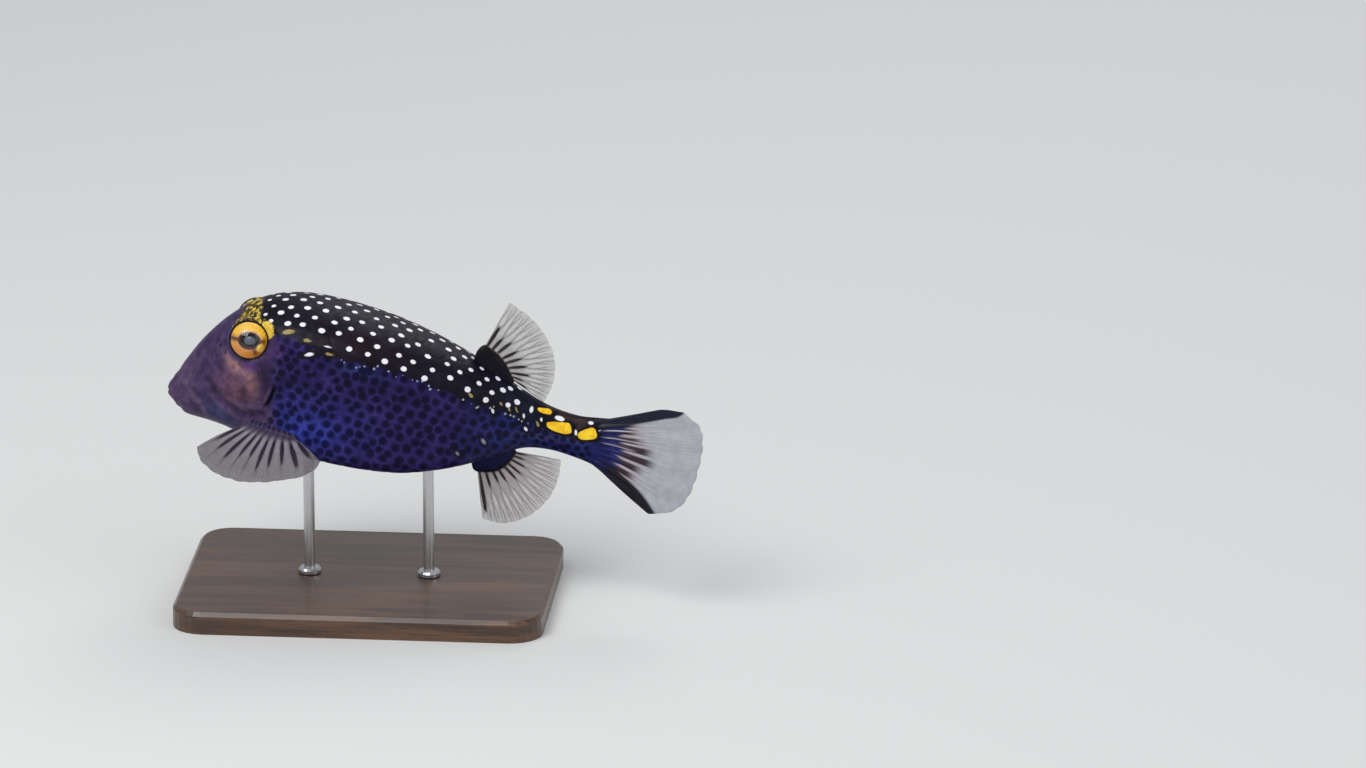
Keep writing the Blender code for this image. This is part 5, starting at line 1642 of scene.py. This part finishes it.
black_lobe = lobe_finish(
    "black_lobe", dark=(0.004, 0.003, 0.005), light=(0.011, 0.007, 0.008), streaky=0.0,
    skin_side=(0.004, 0.004, 0.010),
)
violet_lobe = lobe_finish(
    "violet_lobe", dark=(0.026, 0.018, 0.052), light=(0.052, 0.036, 0.086), streaky=0.12,
    skin_side=(0.030, 0.022, 0.070),
)
navy_lobe = lobe_finish(
    "navy_lobe", dark=(0.004, 0.004, 0.010), light=(0.007, 0.006, 0.020), streaky=0.0,
    skin_side=(0.009, 0.010, 0.072),
)

# %% Make the lobes
LOBE_DEPTH, PECTORAL_LOBE_DEPTH = 3.5, 3.0
ROOT_AHEAD, ROOT_SHORT, LOBE_LINES = 1.8, 2.6, 62.0


def median_root(at, edge, depth):
    """The hidden foot of a lobe in the middle plane, at a depth under the line of the back or belly."""
    ends = at(np.array([0.0, 1.0]), np.zeros(2))
    start, end = ends[0, 0] - ROOT_AHEAD, ends[1, 0] - ROOT_SHORT

    def buried(q):
        x = start + (end - start) * q
        return np.stack([x, 0 * q, edge(x) + depth], -1)

    return buried


def pectoral_root(at, side):
    """The hidden foot of a side fin's lobe, inside the flank."""
    middle = at(np.array([0.5]), np.zeros(1))[0]
    inward = to_side([0.0, 1.0, 0.15], side)

    def buried(q):
        return middle + (at(q, 0 * q) - middle) * 0.92 + inward * PECTORAL_LOBE_DEPTH

    return buried


def make_lobe(name, at, buried, halves, look, overhang=0.0, drop=0.0):
    points, faces, shade, along = lobe_mesh(at, buried, halves, overhang, drop)
    lines = 0.5 + 0.5 * np.sin(along * LOBE_LINES)
    add_piece(name + "_flesh", points, faces, look, (name,), {"lines": lines, "inward": shade})


dorsal, anal = FINS["dorsal_fin"], FINS["anal_fin"]
dorsal_foot, anal_foot = median_root(dorsal, back, -LOBE_DEPTH), median_root(anal, belly, LOBE_DEPTH)
make_lobe("dorsal_fin_lobe", dorsal, dorsal_foot, LOBE_HALVES, black_lobe, 0.2, 62.0)
make_lobe("anal_fin_lobe", anal, anal_foot, LOBE_HALVES, navy_lobe, 0.12, -60.0)
for side in SIDES:
    at = FINS["pectoral_fin_" + side]
    make_lobe("pectoral_lobe_" + side, at, pectoral_root(at, side), PECTORAL_HALVES, violet_lobe)

# %% [markdown]
# ## The stand
#
# The solid base and rods have their true shape already, so they keep it and only get their finish. Wood is
# long drawn-out noise with darker bands and fine pores, under a satin lacquer. The rods are brushed steel:
# noise stretched along the rod gives the faint scratches.

# %% Wood and steel
def wood_finish():
    f = Finish("dark_walnut")
    grain = f.plus(f.noise(14, 3, 0.5, (14, 1, 1)), f.noise(60, 2, 0.5, (5, 1, 1)), 1.6)
    bands = f.math("SINE", f.times(grain, 19))
    fibre = f.noise(1.1, 4, 0.65, (26, 1, 1))
    pores = f.rise(f.noise(0.45, 2, 0.6, (22, 1, 1)), 0.60, 0.70)
    colour = f.mix(f.rise(bands, -0.9, 0.9), (0.050, 0.021, 0.010), (0.112, 0.050, 0.024))
    darker, lighter = f.mix(0.4, colour, (0.015, 0.006, 0.003)), f.mix(0.12, colour, (0.30, 0.15, 0.07))
    colour = f.mix(f.rise(fibre, 0.3, 0.7), darker, lighter)
    colour = f.mix(f.times(pores, 0.75), colour, (0.010, 0.004, 0.002))
    normal = f.bump(pores, 0.03, 0.5, f.bump(fibre, 0.02, 0.5))
    f.done(Base_Color=colour, Roughness=f.rise(fibre, 0.2, 0.8, 0.34, 0.48), Normal=normal)
    return f.done(Coat_Weight=0.35, Coat_Roughness=0.18)


def steel_finish():
    f = Finish("brushed_steel")
    scratch = f.noise(0.12, 2, 0.6, (1, 1, 60))
    colour = f.mix(scratch, (0.50, 0.50, 0.51), (0.66, 0.66, 0.67))
    roughness = f.rise(scratch, 0.3, 0.7, 0.22, 0.38)
    return f.done(Base_Color=colour, Metallic=1.0, Roughness=roughness, Normal=f.bump(scratch, 0.006, 0.5))


def refinish(node, look):
    """Gives a solid of the model a new finish and leaves its shape alone."""
    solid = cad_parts[node]
    solid.data.materials.clear()
    solid.data.materials.append(look)


refinish("stand_base", wood_finish())
steel = steel_finish()
for rod in ("stand_rod_front", "stand_rod_rear"):
    refinish(rod, steel)
print("base of the stand:", [round(c, 3) for c in base_high - base_low], "m")
